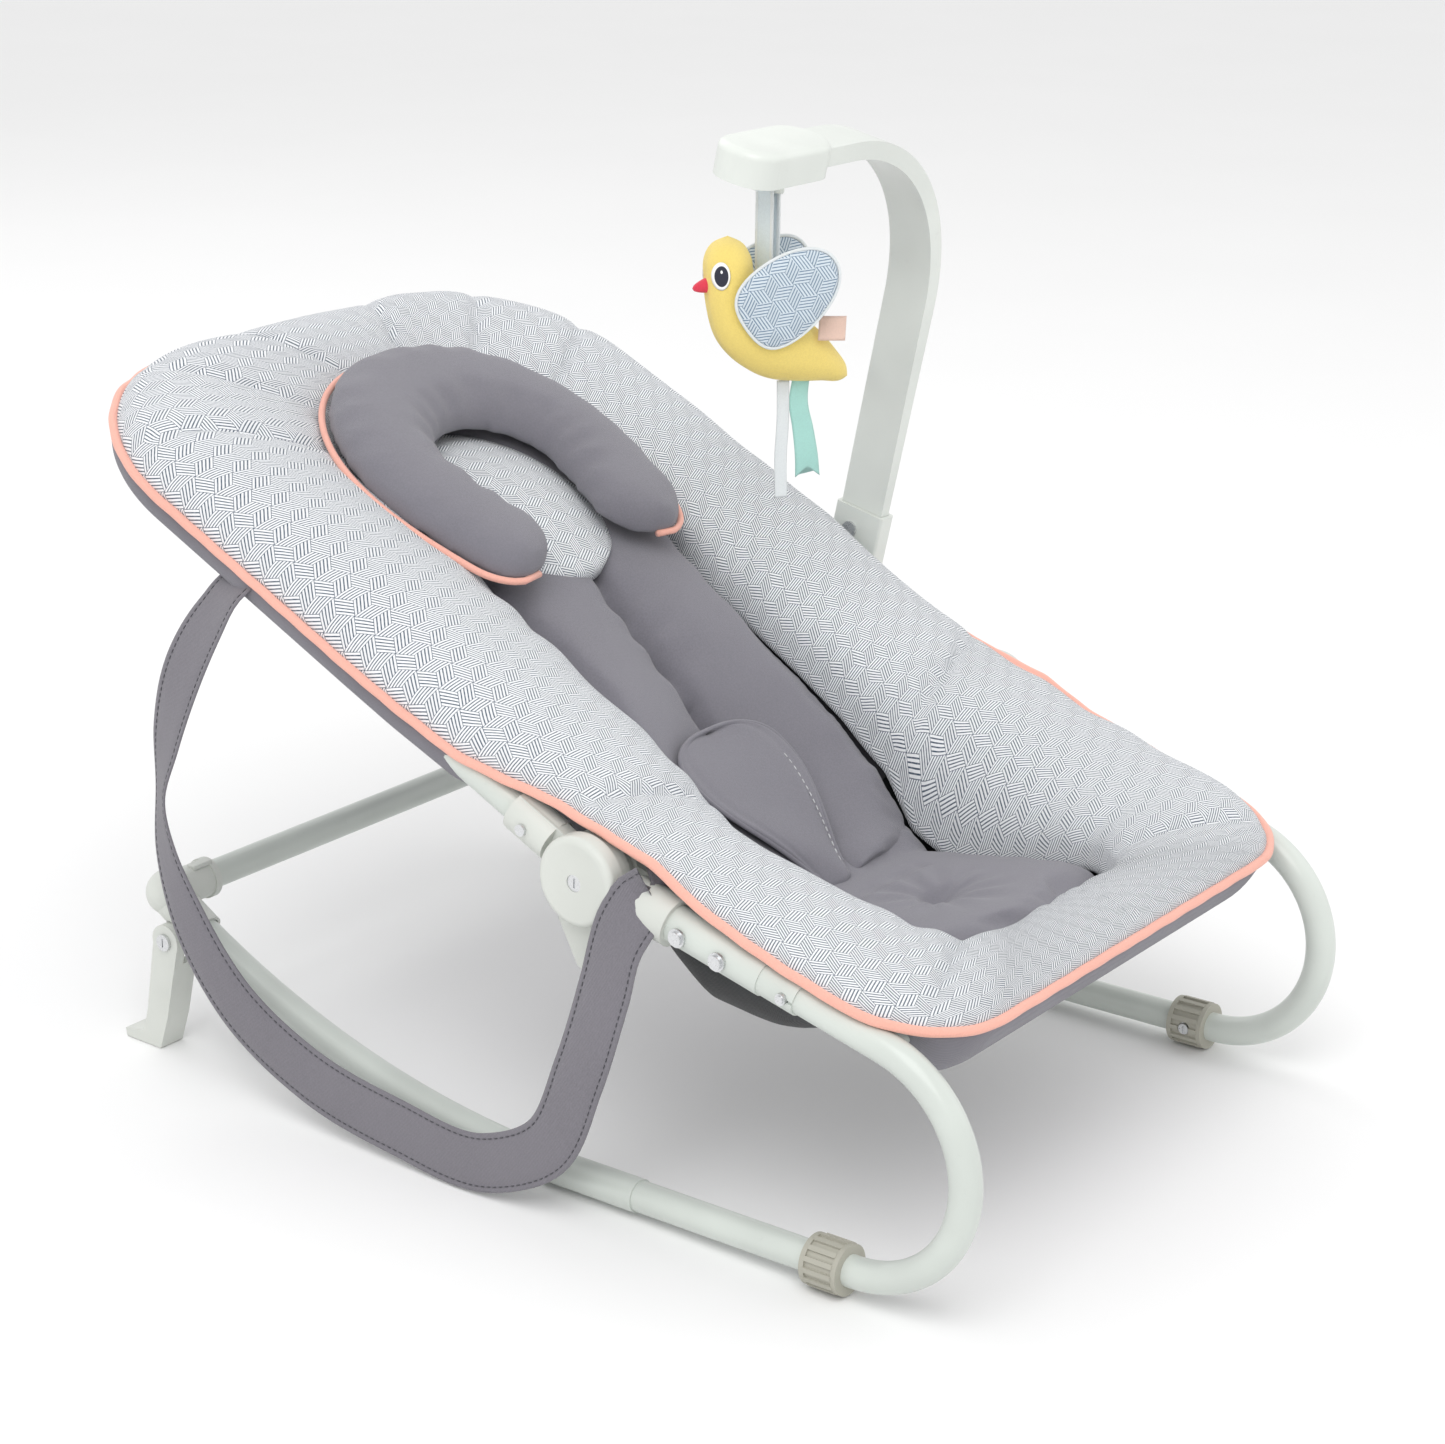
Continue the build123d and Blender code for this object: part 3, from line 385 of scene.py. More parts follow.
rimX, rimS = ringPath(**rim)
rimX = rimX - np.sign(rimX) * table(rimInset, rimS) * (np.abs(rimX) > 150)
throatX, throatS = ringPath(**throat)
rimH, throatH = table(rimHeight, rimS), table(throatHeight, throatS)
normX, normS = ringNormal(rimX, rimS)
midX, midS = rimX * 0.7 + throatX * 0.3, rimS * 0.7 + throatS * 0.3  # the loop that the print's length is laid on
ringRun = np.concatenate([[0], np.cumsum(np.hypot(np.diff(midX), np.diff(midS)))])
ringLength = ringRun[-1] + 6


quilt = {"hubAt": 12.0, "hubSlant": 34.0, "deep": 6.0, "narrow": 3.6, "soft": 2.2, "wide": 13.0}


def collarCover():
    # outer quarter rises from the piping to the crest, inner quarter falls to the pads, then tucks under and back
    crest = 0.39
    up = np.linspace(0, math.pi / 2, 9, endpoint=False)
    down = np.linspace(0, math.pi / 2, 17)
    across = np.concatenate([crest * (1 - np.cos(up)), crest + (1 - crest) * np.sin(down),
                             [1.02, 0.98], np.linspace(0.85, 0.06, 6)])
    rise = np.concatenate([np.sin(up) ** 0.85, np.ones(17), np.zeros(8)])
    fall = np.concatenate([np.ones(9), np.cos(down) ** 0.9, np.zeros(8)])
    isInner = np.arange(len(across)) >= 9
    isTuck = np.arange(len(across)) >= 26
    x = rimX[:, None] + (throatX - rimX)[:, None] * across
    s = rimS[:, None] + (throatS - rimS)[:, None] * across
    top = table(crestHeight, rimS)[:, None]
    outerH = rimH[:, None] - 2 + (top - rimH[:, None] + 2) * rise
    innerH = throatH[:, None] + (top - throatH[:, None]) * fall
    under = throatH[:, None] - 14 + (rimH[:, None] - 5 - throatH[:, None] + 14) * (1 - across)
    h = np.where(isTuck, under, np.where(isInner, innerH, outerH))
    # sewn channels across the collar, and soft puckers beside the inner seam
    dome = np.sin(np.clip(across, 0, 1) * math.pi) ** 0.6 * ~isTuck
    run = ringRun[:, None]
    total = ringRun[len(ringRun) // 2]
    half = np.minimum(run, 2 * total - run)
    cut = 0
    cornerRun = ringRun[ringCounts[0] + ringCounts[1] // 2]
    hubRun = ringRun[np.argmin(np.abs(rimS[:len(rimS) // 2] - quilt["hubAt"]))]
    headRuns = [ringRun[sum(ringCounts[:3]) + k] for k in (8, 26)] + [ringRun[sum(ringCounts[:4]) + 8]]
    for at, slant in [(cornerRun, 0), (hubRun, quilt["hubSlant"])] + [(r, 0) for r in headRuns]:
        away = np.abs(half - at + slant * (across - 0.4))
        cut = cut + quilt["deep"] * np.exp(-(away / quilt["narrow"]) ** 2)
        cut = cut + quilt["soft"] * np.exp(-(away / quilt["wide"]) ** 2)
    pucker = 1.5 * np.sin(run / 9.0 + 1.7 * np.sin(run / 31.0)) * np.exp(-((across - 0.93) / 0.16) ** 2)
    pucker = pucker + 0.9 * np.sin(run / 13.0 + 2.0 * np.sin(run / 47.0)) * np.exp(-((across - 0.05) / 0.12) ** 2)
    wave = 1.6 * np.sin(run / 43.0 + 3.0 * across) * np.sin(run / 71.0 + 1.0)
    h = h - cut * dome + np.where(isTuck, 0, pucker + wave * dome)
    grid = lay(x, s, h)
    wide = np.linalg.norm(np.diff(grid, axis=1), axis=2).mean(0)
    v = np.concatenate([[0], np.cumsum(wide), [np.sum(wide) + 0.1]])
    u = np.append(ringRun, ringLength) * mm
    uv = np.stack(np.broadcast_arrays(u[:, None], v[None, :]), -1)
    cover = surface("collarCover", grid, True, True, uv=uv, merge=True, material=looks["collar_print"])
    subdivide(cover)
    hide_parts("head_bolster", "back_bolster_left", "back_bolster_right", "seat_bolster_left",
                "seat_bolster_right", "front_bolster")
    return acrossHub(cover)


def acrossHub(obj):
    # cloth that crosses the recline hinge: the two points beside the hub are found but not used, and the object's
    # transform is baked into its mesh
    start, end = lay(0, np.array(-34.0), 0), lay(0, np.array(34.0), 0)
    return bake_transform(obj)


piping = {"radius": 3.1, "outside": 1.2, "flange": 6.0}


def edgePiping():
    # a round cord just outside the collar's lower edge, with its sewn flange
    q = np.linspace(math.pi + 0.25, 3 * math.pi - 0.25, 11)
    lift = np.concatenate([[0.7, -0.7], piping["radius"] * np.sin(q)])
    out = np.concatenate([[-piping["flange"]] * 2, piping["outside"] + piping["radius"] * np.cos(q)])
    ripple = 0.25 * np.sin(ringRun / 4.1)[:, None]
    x = rimX[:, None] + normX[:, None] * (out + ripple)
    s = rimS[:, None] + normS[:, None] * (out + ripple)
    grid = lay(x, s, rimH[:, None] + lift)
    cord = surface("edgePiping", grid, True, True, merge=True, material=looks["coral_piping"])
    subdivide(cord)
    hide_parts("back_piping", "seat_piping")
    return acrossHub(cord)


collarCover()
edgePiping()
print("collar and piping sewn")

# the cloth shell under the seat: it wraps the back tube, and hangs as a bucket under the hips
# each edge section is a run of steps out from the rim and up from the tubes' plane
shell = {"cloth": 1.4,
         "sleeve": ((-1.0, -0.4, -0.8, -3.0, -7.0, -13.0), (12.0, 7.0, 0.0, -6.0, -10.0, -12.0)),
         "tuck": ((-1.0, -7.0, -14.0, -20.5, -22.5, -22.0), (12.5, 13.2, 13.0, 9.0, 1.0, -8.0)),
         "front": ((-0.5, -2.0, -5.0, -9.0, -14.0, -20.0), (12.0, 4.0, -6.0, -14.0, -21.0, -27.0)),
         "backFrom": 66.0, "frontFrom": -200.0, "change": 40.0}
bellyDepth = ((-243, -232, -215, -180, -120, -60, -20, 20, 80, 200, 372, 492),
              (-14, -30, -44, -58, -76, -90, -72, -52, -40, -17, -13, -9))


def shellFinish():
    # grey cloth with a darker, coarser piece let in under the hips, and a topstitched seam on each side of it
    f = Finish("shell_cloth", 0.88, sheen=0.2, specular=0.25)
    uv = f.coords(uv=True)
    where = f.coords()
    s = f.node("ShaderNodeSeparateXYZ", {0: uv}).outputs[1]
    dark = f.math("MULTIPLY", f.ramp(s, -0.1525, -0.1515), f.ramp(s, 0.0035, 0.0045, 1.0, 0.0))
    seam = f.math("ADD", f.ramp(f.math("ABSOLUTE", f.math("ADD", s, 0.152)), 0.0, 0.0025, 1.0, 0.0),
                  f.ramp(f.math("ABSOLUTE", f.math("SUBTRACT", s, 0.004)), 0.0, 0.0025, 1.0, 0.0))
    slow = f.ramp(f.noise(where, 9, 3), 0.3, 0.7)
    grey = f.mixColour(slow, (0.195, 0.188, 0.215, 1), (0.225, 0.218, 0.248, 1))
    f.colour(f.mixColour(dark, grey, (0.018, 0.02, 0.022, 1)))
    weave = weaveHeight(f, where, 0.0010)
    height = f.math("ADD", weave, f.math("MULTIPLY", f.noise(where, 38, 4, 0.6), 6.0))
    f.bump(f.math("SUBTRACT", height, f.math("MULTIPLY", seam, 5.0)), 0.00013)
    return f.material


def underShell():
    # from the piping round the tube's sleeve, then in to the middle line while it sinks to the belly's depth
    sleeveOut, sleeveH = np.array(shell["sleeve"])
    tuckOut, tuckH = np.array(shell["tuck"])
    frontOut, frontH = np.array(shell["front"])
    back = smooth((rimS - shell["backFrom"]) / shell["change"])[:, None]
    front = smooth((shell["frontFrom"] - rimS) / shell["change"])[:, None]
    away = tuckOut + (sleeveOut - tuckOut) * back
    low = tuckH + (sleeveH - tuckH) * back + (rimH[:, None] - 14.5) * np.linspace(1, 0, 6)
    away = away * (1 - front) + front * frontOut
    low = low * (1 - front) + front * frontH
    x0 = rimX[:, None] + normX[:, None] * away
    s0 = rimS[:, None] + normS[:, None] * away
    spineS = np.interp(rimS, (-243, 492), (-170, 400))
    w = np.linspace(0, 1, 15)[1:]
    x1 = x0[:, -1:] * (1 - w)
    s1 = s0[:, -1:] + (spineS[:, None] - s0[:, -1:]) * w ** 1.3
    depth = table(bellyDepth, s1)
    bucket = 2.2 + 4.5 * np.exp(-((s1 + 75) / 60) ** 4)
    h1 = low[:, -1:] + (depth - low[:, -1:]) * (1 - (1 - w) ** bucket)
    h1 = h1 + 1.0 * np.sin(ringRun / 17.0)[:, None] * np.sin(w * math.pi)
    grid = lay(np.concatenate([x0, x1], 1), np.concatenate([s0, s1], 1), np.concatenate([low, h1], 1))
    flat = np.stack([np.concatenate([x0, x1], 1), np.concatenate([s0, s1], 1)], -1) * mm
    uv = np.concatenate([flat, flat[:1]])
    cloth = surface("underShell", grid, True, False, uv=uv, merge=True, material=shellFinish())
    subdivide(cloth)
    thick = cloth.modifiers.new("Cloth", "SOLIDIFY")
    thick.thickness = shell["cloth"] * mm
    thick.offset = 0
    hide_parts("back_sling", "seat_sling", "hip_sling")
    return acrossHub(cloth)


shellCloth = underShell()


# quilted pads
def cushion(name, size, top, material, rows, cols):
    # closed pad: an upper and a lower skin that meet at a rounded edge; b runs along it and a across it
    b = np.linspace(0, 1, rows)[:, None]
    q = np.linspace(0, 2 * math.pi, 2 * cols, endpoint=False)[None, :]
    a = squared(np.cos(q), 0.8)
    puff = squared(np.sin(q), 0.55)
    s = padAlong(size, b) + 0 * a
    w = padHalf(size, s)
    ends = np.clip(w / (w.max() * 0.35), 0, 1) ** 0.5
    thick = size["thick"]
    h = top(a, s) - thick / 2 + puff * thick / 2 * ends
    return surface(name, lay(a * w, s, h), False, True, merge=True, material=material)


def inflate(obj, voxel, cap, pressure=4.0, frames=20):
    # remesh, swell as cloth under pressure with no gravity, and hold every point within the cap
    bpy.context.view_layer.objects.active = obj
    bpy.ops.object.select_all(action="DESELECT")
    obj.select_set(True)
    mod = obj.modifiers.new("Remesh", "REMESH")
    mod.mode = "VOXEL"
    mod.voxel_size = voxel * mm
    bpy.ops.object.modifier_apply(modifier=mod.name)
    before = np.zeros(len(obj.data.vertices) * 3)
    obj.data.vertices.foreach_get("co", before)
    before = before.reshape(-1, 3)
    cloth = obj.modifiers.new("Cloth", "CLOTH")
    cloth.settings.use_pressure = True
    cloth.settings.uniform_pressure_force = pressure
    cloth.settings.effector_weights.gravity = 0
    cloth.settings.tension_stiffness = 12
    cloth.settings.quality = 5
    for step in range(1, frames + 1):
        bpy.context.scene.frame_set(step)
    held = obj.evaluated_get(bpy.context.evaluated_depsgraph_get())
    after = np.zeros(len(held.data.vertices) * 3)
    held.data.vertices.foreach_get("co", after)
    move = after.reshape(-1, 3) - before
    size = np.linalg.norm(move, axis=1, keepdims=True) + 1e-12
    move *= np.minimum(1, cap * mm / size)
    obj.modifiers.remove(cloth)
    obj.data.vertices.foreach_set("co", (before + move).reshape(-1))
    bpy.context.scene.frame_set(1)
    obj.data.polygons.foreach_set("use_smooth", np.ones(len(obj.data.polygons), bool))
    obj.data.update()
    return obj


def carve(obj, depth):
    # pushes the upper skin down by depth(x, s, h), in the seat's own coordinates
    co = np.zeros(len(obj.data.vertices) * 3)
    obj.data.vertices.foreach_get("co", co)
    x, s, h = unlay(co.reshape(-1, 3))
    obj.data.vertices.foreach_set("co", lay(x, s, h - depth(x, s, h)).reshape(-1))
    obj.data.update()
    return obj


spineHeight = ((-200, -174, -116, -75, -50, 0, 84, 140, 200, 300, 400),
               (-3, -10, -35, -50, -60, -46, -21, -6, 9, 12, 14))
edgeHeight = ((-200, -162, -122, -90, -53, -32, -4, 37, 84, 140, 200, 400),
              (0, -6, -24, -40, -54, -46, -18, -4, 2, 7, 10, 14))


def padHalf(size, s):
    # half width along a pad: rounded towards the feet, squarer towards the head
    lowEnd = np.clip((size["low"] + size["round"] - s) / size["round"], 0, 1)
    highEnd = np.clip((s - size["high"] + size["square"]) / size["square"], 0, 1)
    return size["half"] * (1 - lowEnd ** 2.4) ** 0.42 * (1 - highEnd ** 3) ** 0.34


def padAlong(size, b):
    # rows stand closer together near both ends
    return size["low"] + (size["high"] - size["low"]) * (b - size["crowd"] * np.sin(2 * math.pi * b))


def padTop(a, s):
    # hammock line: the middle sinks below the edges
    return table(spineHeight, s) + (table(edgeHeight, s) - table(spineHeight, s)) * np.abs(a) ** 2


def backPadPiece():
    size = {"low": -50.0, "high": 396.0, "half": 98.0, "round": 30.0, "square": 40.0, "thick": 20.0,
            "crowd": 0.045}

    def top(a, s):
        lobe = 15 - 9 * np.exp(-((s - 40) / 55) ** 2)
        return padTop(a, s) + lobe * (1 - np.abs(2 * np.abs(a) - 1) ** 2.4)

    pad = cushion("backPad", size, top, looks["grey_cloth"], 110, 34)
    inflate(pad, 5.0, 5.0)

    def seams(x, s, h):
        above = smooth((h - padTop(x / 94, s) + 8) / 10)
        middle = 12.0 * np.exp(-(np.abs(x + 1.5 * np.sin(s / 19)) / 4.2) ** 1.6) * smooth((s + 12) / 30)
        folds = 2.2 * np.sin(s / 5.5 + 2 * np.sin(s / 23)) * np.exp(-(np.abs(x) / 17) ** 2)
        edge = 2.0 * np.sin(s / 7 + 1.3 * np.sin(s / 31)) * np.exp(-((np.abs(x) - 90) / 13) ** 2)
        slack = 2.2 * np.sin(s / 37 + x / 60) * np.sin(x / 29 + 0.8)
        return above * (middle + folds + edge + slack)

    carve(pad, seams)
    subdivide(pad)
    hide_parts("back_pad")
    start, end = lay(0, np.array(-60.0), -50), lay(0, np.array(10.0), -50)
    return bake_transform(pad)


def seatPadPiece():
    size = {"low": -192.0, "high": -16.0, "half": 96.0, "round": 34.0, "square": 16.0, "thick": 18.0,
            "crowd": 0.06}

    pad = cushion("seatPad", size, lambda a, s: padTop(a, s) + 9 * (1 - np.abs(a) ** 2.5), looks["grey_cloth"], 60, 34)
    inflate(pad, 5.0, 5.0)

    def seams(x, s, h):
        # a tuft with folds that fan out from it, and a sewn slit behind
        above = smooth((h - padTop(x / 95, s) + 6) / 9)
        dx, ds = x, s + 112
        far = np.hypot(dx, ds)
        angle = np.arctan2(ds, dx)
        tuft = 11.0 * np.exp(-(far / 11) ** 2) + 4.0 * np.exp(-(far / 30) ** 2)
        fan = 2.4 * np.sin(11 * angle + 1.5 * np.sin(2 * angle)) * np.exp(-((far - 22) / 17) ** 2)
        slit = 4.0 * np.exp(-((s + 74 + 0.0015 * x * x) / 2.6) ** 2) * (np.abs(x) < 40)
        return above * (tuft + fan + slit)

    carve(pad, seams)
    subdivide(pad)
    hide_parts("seat_pad")
    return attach(pad, "base")


backPadPiece()
seatPadPiece()
print("pads quilted")

# the horseshoe head pillow
pillow = {"off": -15.0, "acrossR": 81.0, "upR": 84.0, "turnR": 84.0, "centre": 280.0, "armEnd": 190.0, "tipIn": 22.0,
          "base": 42.0, "high": 25.0, "cordR": 2.3}
panel = {"half": 66.0, "long": 76.0, "centre": 268.0, "edge": 27.0, "dome": 18.0, "base": 16.0}


def horseshoe(count=120):
    # up one arm, half an ellipse over the head, and down the other arm; the tips turn in a little
    arm = pillow["centre"] - pillow["armEnd"]
    bow = math.pi * pillow["turnR"]
    t = np.linspace(-arm, bow + arm, count)
    q = np.clip(t / pillow["turnR"], 0, math.pi)
    spare = np.where(t < 0, -t, np.where(t > bow, t - bow, 0))
    x = -np.cos(q) * (pillow["acrossR"] - pillow["tipIn"] * (spare / arm) ** 1.6)
    s = pillow["centre"] + np.sin(q) * pillow["upR"] - spare
    half = 31.5 + 11.0 * np.sin(q) ** 1.5
    return x + pillow["off"], s, half, t


def headPillow():
    # a domed band round the horseshoe, closed by rounded tips
    x, s, half, t = horseshoe()
    tx, ts = np.gradient(x), np.gradient(s)
    size = np.hypot(tx, ts)
    nx, ns = -ts / size, tx / size
    fade = np.minimum(t - t[0], t[-1] - t) / 30
    fade = np.sqrt(np.clip(1 - (1 - np.clip(fade, 0, 1)) ** 2, 0, 1))
    q = np.linspace(0, 2 * math.pi, 28, endpoint=False)
    out = squared(np.cos(q), 0.85)
    lift = np.where(np.sin(q) > 0, np.abs(np.sin(q)) ** 0.8, -0.12 * np.abs(np.sin(q)) ** 0.6)
    w = (half * fade)[:, None] * out
    h = pillow["base"] + pillow["high"] * (0.35 + 0.65 * fade[:, None]) * lift * np.clip(fade[:, None] * 2, 0, 1)
    grid = lay(x[:, None] + nx[:, None] * w, s[:, None] + ns[:, None] * w, h)
    piece = surface("headPillow", grid, False, True, merge=True, material=looks["grey_cloth"])
    inflate(piece, 5.0, 4.0)

    def folds(px, ps, ph):
        above = smooth((ph - pillow["base"]) / 12)
        ring = np.arctan2(ps - pillow["centre"], px - pillow["off"])
        far = np.hypot(px - pillow["off"], ps - pillow["centre"])
        inner = 1.5 * np.sin(17 * ring + 2 * np.sin(3 * ring)) * np.exp(-((far - 55) / 13) ** 2)
        outer = 1.1 * np.sin(23 * ring + 1.4 * np.sin(5 * ring)) * np.exp(-((far - 112) / 11) ** 2)
        return above * (inner + outer)

    carve(piece, folds)
    subdivide(piece)
    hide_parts("head_pillow")
    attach(piece, "back")
    # contrast piping on the outer edge, round both tips
    reach = half * fade * 0.995
    line = lay(x + nx * reach, s + ns * reach, np.full(len(x), pillow["base"] + 1.0))
    slopeUp = (lay(0, np.array(300.0), 1) - lay(0, np.array(300.0), 0)) / mm
    cord = roundCord("pillowPiping", line, pillow["cordR"] * mm, 10, side=np.tile(slopeUp, (len(line), 1)),
                     material=looks["coral_piping"])
    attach(cord, "back")


def pillowPanel():
    # a low printed dome inside the horseshoe
    r = np.linspace(0, 1, 16)[:, None]
    q = np.linspace(0, 2 * math.pi, 60, endpoint=False)[None, :]
    x = pillow["off"] + panel["half"] * r * np.cos(q)
    s = panel["centre"] + panel["long"] * r * np.sin(q)
    h = panel["edge"] + panel["dome"] * (1 - r ** 2) + 0 * q
    low = lay(x[-1:], s[-1:], panel["base"] + 0 * q)
    mid = lay(pillow["off"] + 0 * q, panel["centre"] + 0 * q, panel["base"] + 0 * q)
    grid = np.concatenate([lay(x, s, h), low, mid])
    flatX = np.concatenate([x, x[-1:] * 1.17, x[-1:] * 0])
    flatS = np.concatenate([s, panel["centre"] + (s[-1:] - panel["centre"]) * 1.15, panel["centre"] + 0 * s[-1:]])
    uv = closedMap(flatX, flatS) * mm
    piece = surface("pillowPanel", grid, False, True, uv=uv, merge=True, material=looks["collar_print"])
    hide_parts("pillow_panel")
    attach(piece, "back")


headPillow()
pillowPanel()
print("pillow stuffed")


def stitchRow(name, points, normals, material, length=3.4, gap=2.0, r=0.35):
    # short threads laid end to end on the path, each a six-sided bead drawn out along it
    tangent, run = alongPath(points)
    starts = np.arange(gap * mm, run[-1] - length * mm, (length + gap) * mm)
    k = np.array([0.0, 0.12, 0.5, 0.88, 1.0])
    swell = np.array([0.0, 0.8, 1.0, 0.8, 0.0])
    at = starts[:, None] + k[None, :] * length * mm
    centre = np.stack([np.interp(at, run, points[:, c]) for c in range(3)], -1)
    up = np.stack([np.interp(at, run, normals[:, c]) for c in range(3)], -1)
    along = np.stack([np.interp(at, run, tangent[:, c]) for c in range(3)], -1)
    side = np.cross(along, up)
    q = np.linspace(0, 2 * math.pi, 6, endpoint=False)
    ring = np.cos(q)[:, None] * side[..., None, :] + np.sin(q)[:, None] * up[..., None, :]
    pts = centre[..., None, :] + ring * (swell * r * mm)[None, :, None, None]
    n = len(starts)
    i, j, c = np.meshgrid(np.arange(n), np.arange(4), np.arange(6), indexing="ij")
    low, high, turned = i * 30 + j * 6, i * 30 + (j + 1) * 6, (c + 1) % 6  # 30 points to a stitch, 6 to a ring
    quads = np.stack([low + c, high + c, high + turned, low + turned], -1)
    mesh = bpy.data.meshes.new(name)
    mesh.from_pydata(pts.reshape(-1, 3).tolist(), [], quads.reshape(-1, 4).tolist())
    return finishMesh(name, mesh, True, material)


# the crotch flap, which rises from the seat and lies on the back pad
flap = {"sideY": (-125.5, -112.5, -94.5, -61.5, -26.5), "sideZ": (148.5, 160.0, 177.0, 203.0, 230.0), "thick": 8.0,
        "sewnHalf": 13.0, "flare": 35.0, "dish": 5.0, "seam": 1.6, "cordR": 1.5, "rows": 40}


def crotchFlap():
    # width grows from the sewn end to a rounded top; the skin is domed and drawn in at its edge seam
    y, z = np.array(flap["sideY"]), np.array(flap["sideZ"])
    line = smoothPath(np.stack([y * 0 - 6, y, z], 1), flap["rows"])
    tangent, run = alongPath(line)
    b = (run / run[-1])[:, None]
    rise = np.cross(np.array([1.0, 0, 0]), tangent)
    w = flap["sewnHalf"] + flap["flare"] * smooth(b / 0.75)
    w = w * np.clip(1 - np.clip((b - 0.76) / 0.24, 0, 1) ** 2.8, 0, 1) ** 0.42 * np.sqrt(np.clip(b / 0.03, 0, 1))
    q = np.linspace(0, 2 * math.pi, 40, endpoint=False)[None, :]
    a = squared(np.cos(q), 0.8)
    puff = squared(np.sin(q), 0.7)
    thick = flap["thick"] / 2 * np.clip(w / 20, 0, 1) ** 0.5
    seam = flap["seam"] * np.exp(-((np.abs(a) - 0.86) / 0.035) ** 2)
    h = puff * (thick - seam) + 1.5 * np.sin(b * 9 + a * 2) * (1 - b) + flap["dish"] * a * a * b
    centreX = -14 - 12 * b
    grid = line[:, None] + rise[:, None] * h[..., None]
    grid = np.stack([np.broadcast_to(centreX, h.shape) + a * w, grid[..., 1], grid[..., 2]], -1) * mm
    piece = surface("crotchFlap", grid, False, True, merge=True, material=looks["grey_cloth"])
    subdivide(piece)
    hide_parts("crotch_flap")
    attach(piece, "back")
    # a self-coloured cord round the edge
    k = np.concatenate([np.arange(2, flap["rows"]), np.arange(flap["rows"] - 2, 1, -1)])
    way = np.where(np.arange(len(k)) < flap["rows"] - 2, 1.0, -1.0)
    lift = flap["dish"] * b[k, 0]
    edge = np.stack([centreX[k, 0] + way * w[k, 0], line[k, 1] + rise[k, 1] * lift, line[k, 2] + rise[k, 2] * lift], 1)
    cord = roundCord("flapPiping", smoothPath(edge[2:-2] * mm, 160), flap["cordR"] * mm, 8,
                     side=np.tile(rise[20], (160, 1)), material=looks["grey_cloth"])
    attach(cord, "back")
    # one row of pale thread along the left edge
    pick = slice(4, 30)
    edgeX = centreX[:, 0] + 0.80 * w[:, 0]
    lift = thick[:, 0] * 0.72 + flap["dish"] * 0.64 * b[:, 0]
    path = np.stack([edgeX, line[:, 1] + rise[:, 1] * lift, line[:, 2] + rise[:, 2] * lift], 1)[pick] * mm
    thread = stitchRow("flapStitch", path, rise[pick], threadPale, 3.6, 1.6, 0.45)
    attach(thread, "back")


crotchFlap()
print("flap sewn")

# carry straps: each hangs from the back's edge and ends in a loop round the seat rail
strap = {"half": 18.5, "thick": 1.5, "seamAt": 0.8, "threadR": 0.45}
# across, along, up, and the turn about the path in degrees; the points stand on the floor, as the frame does
strapRoute = [(204, 176, 336, 60), (214, 182, 330, 40), (222, 196, 308, 22), (228, 213, 276, 10), (232, 230, 225, 20),
              (234, 236, 188, 36), (237, 231, 150, 22), (240, 212, 112, 5), (243, 172, 68, -4), (245, 105, 36, -8),
              (246, 30, 24, -8), (246, -46, 23, -4), (243, -88, 46, 0), (238, -108, 96, 0), (232, -122, 150, 0),
              (226, -130, 188, 4), (219, -137, 204, 20), (208, -140, 210, 70), (199, -139, 204, 110)]


def carryStrap(side, name):
    # a flat band square to its path, a little cupped, with a sunk line at each row of stitches
    route = np.array(strapRoute, float)
    route[:, 1] += 9.5
    path = smoothPath(np.stack([route[:, 0], route[:, 1], route[:, 2], route[:, 3]], 1), 150)
    twist = np.radians(path[:, 3])
    line = path[:, :3] * [side, 1, 1]
    tangent, run = alongPath(line)
    out = np.tile([[float(side), 0, 0]], (len(line), 1))
    across = np.cross(tangent, out)
    across /= np.linalg.norm(across, axis=1, keepdims=True)
    face = np.cross(across, tangent)
    turnedAcross = across * np.cos(twist)[:, None] + face * np.sin(twist)[:, None] * side
    turnedFace = np.cross(turnedAcross, tangent)
    half, t = strap["half"], strap["thick"] / 2
    a = np.array([-1, -0.97, -0.86, -0.80, -0.74, -0.4, 0, 0.4, 0.74, 0.80, 0.86, 0.97, 1])
    lift = np.array([0, 1, 1, 0.45, 1, 1.1, 1.1, 1.1, 1, 0.45, 1, 1, 0])
    a = np.concatenate([a, a[-2:0:-1]])
    lift = np.concatenate([lift, -lift[-2:0:-1]])
    cup = 1.4 * np.sin(run / 61)[:, None]
    grid = line[:, None] + turnedAcross[:, None] * (a * half)[None, :, None]
    grid = grid + turnedFace[:, None] * (lift * t + cup * (a * a - 0.3))[..., None]
    ends = grid.mean(1, keepdims=True)
    grid = np.concatenate([np.repeat(ends[:1], len(a), 1), grid, np.repeat(ends[-1:], len(a), 1)]) * mm
    band = surface(name, grid, False, True, merge=True, material=looks["strap_webbing"])
    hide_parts("carry_strap_left" if side > 0 else "carry_strap_right")
    parts = [band]
    for k, edge in enumerate((-strap["seamAt"], strap["seamAt"])):
        for skin in (-1, 1):
            level = turnedFace * (skin * t * 0.75 + cup * (edge * edge - 0.3))
            thread = (line + turnedAcross * half * edge + level) * mm
            row = stitchRow(name + "Stitch" + "ABCD"[2 * k + (skin > 0)], thread, turnedFace * skin, threadDark,
                            3.2, 1.5, strap["threadR"])
            parts.append(row)
    for piece in parts:
        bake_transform(piece)


carryStrap(-1, "carryStrapRight")
carryStrap(1, "carryStrapLeft")
print("straps hung")

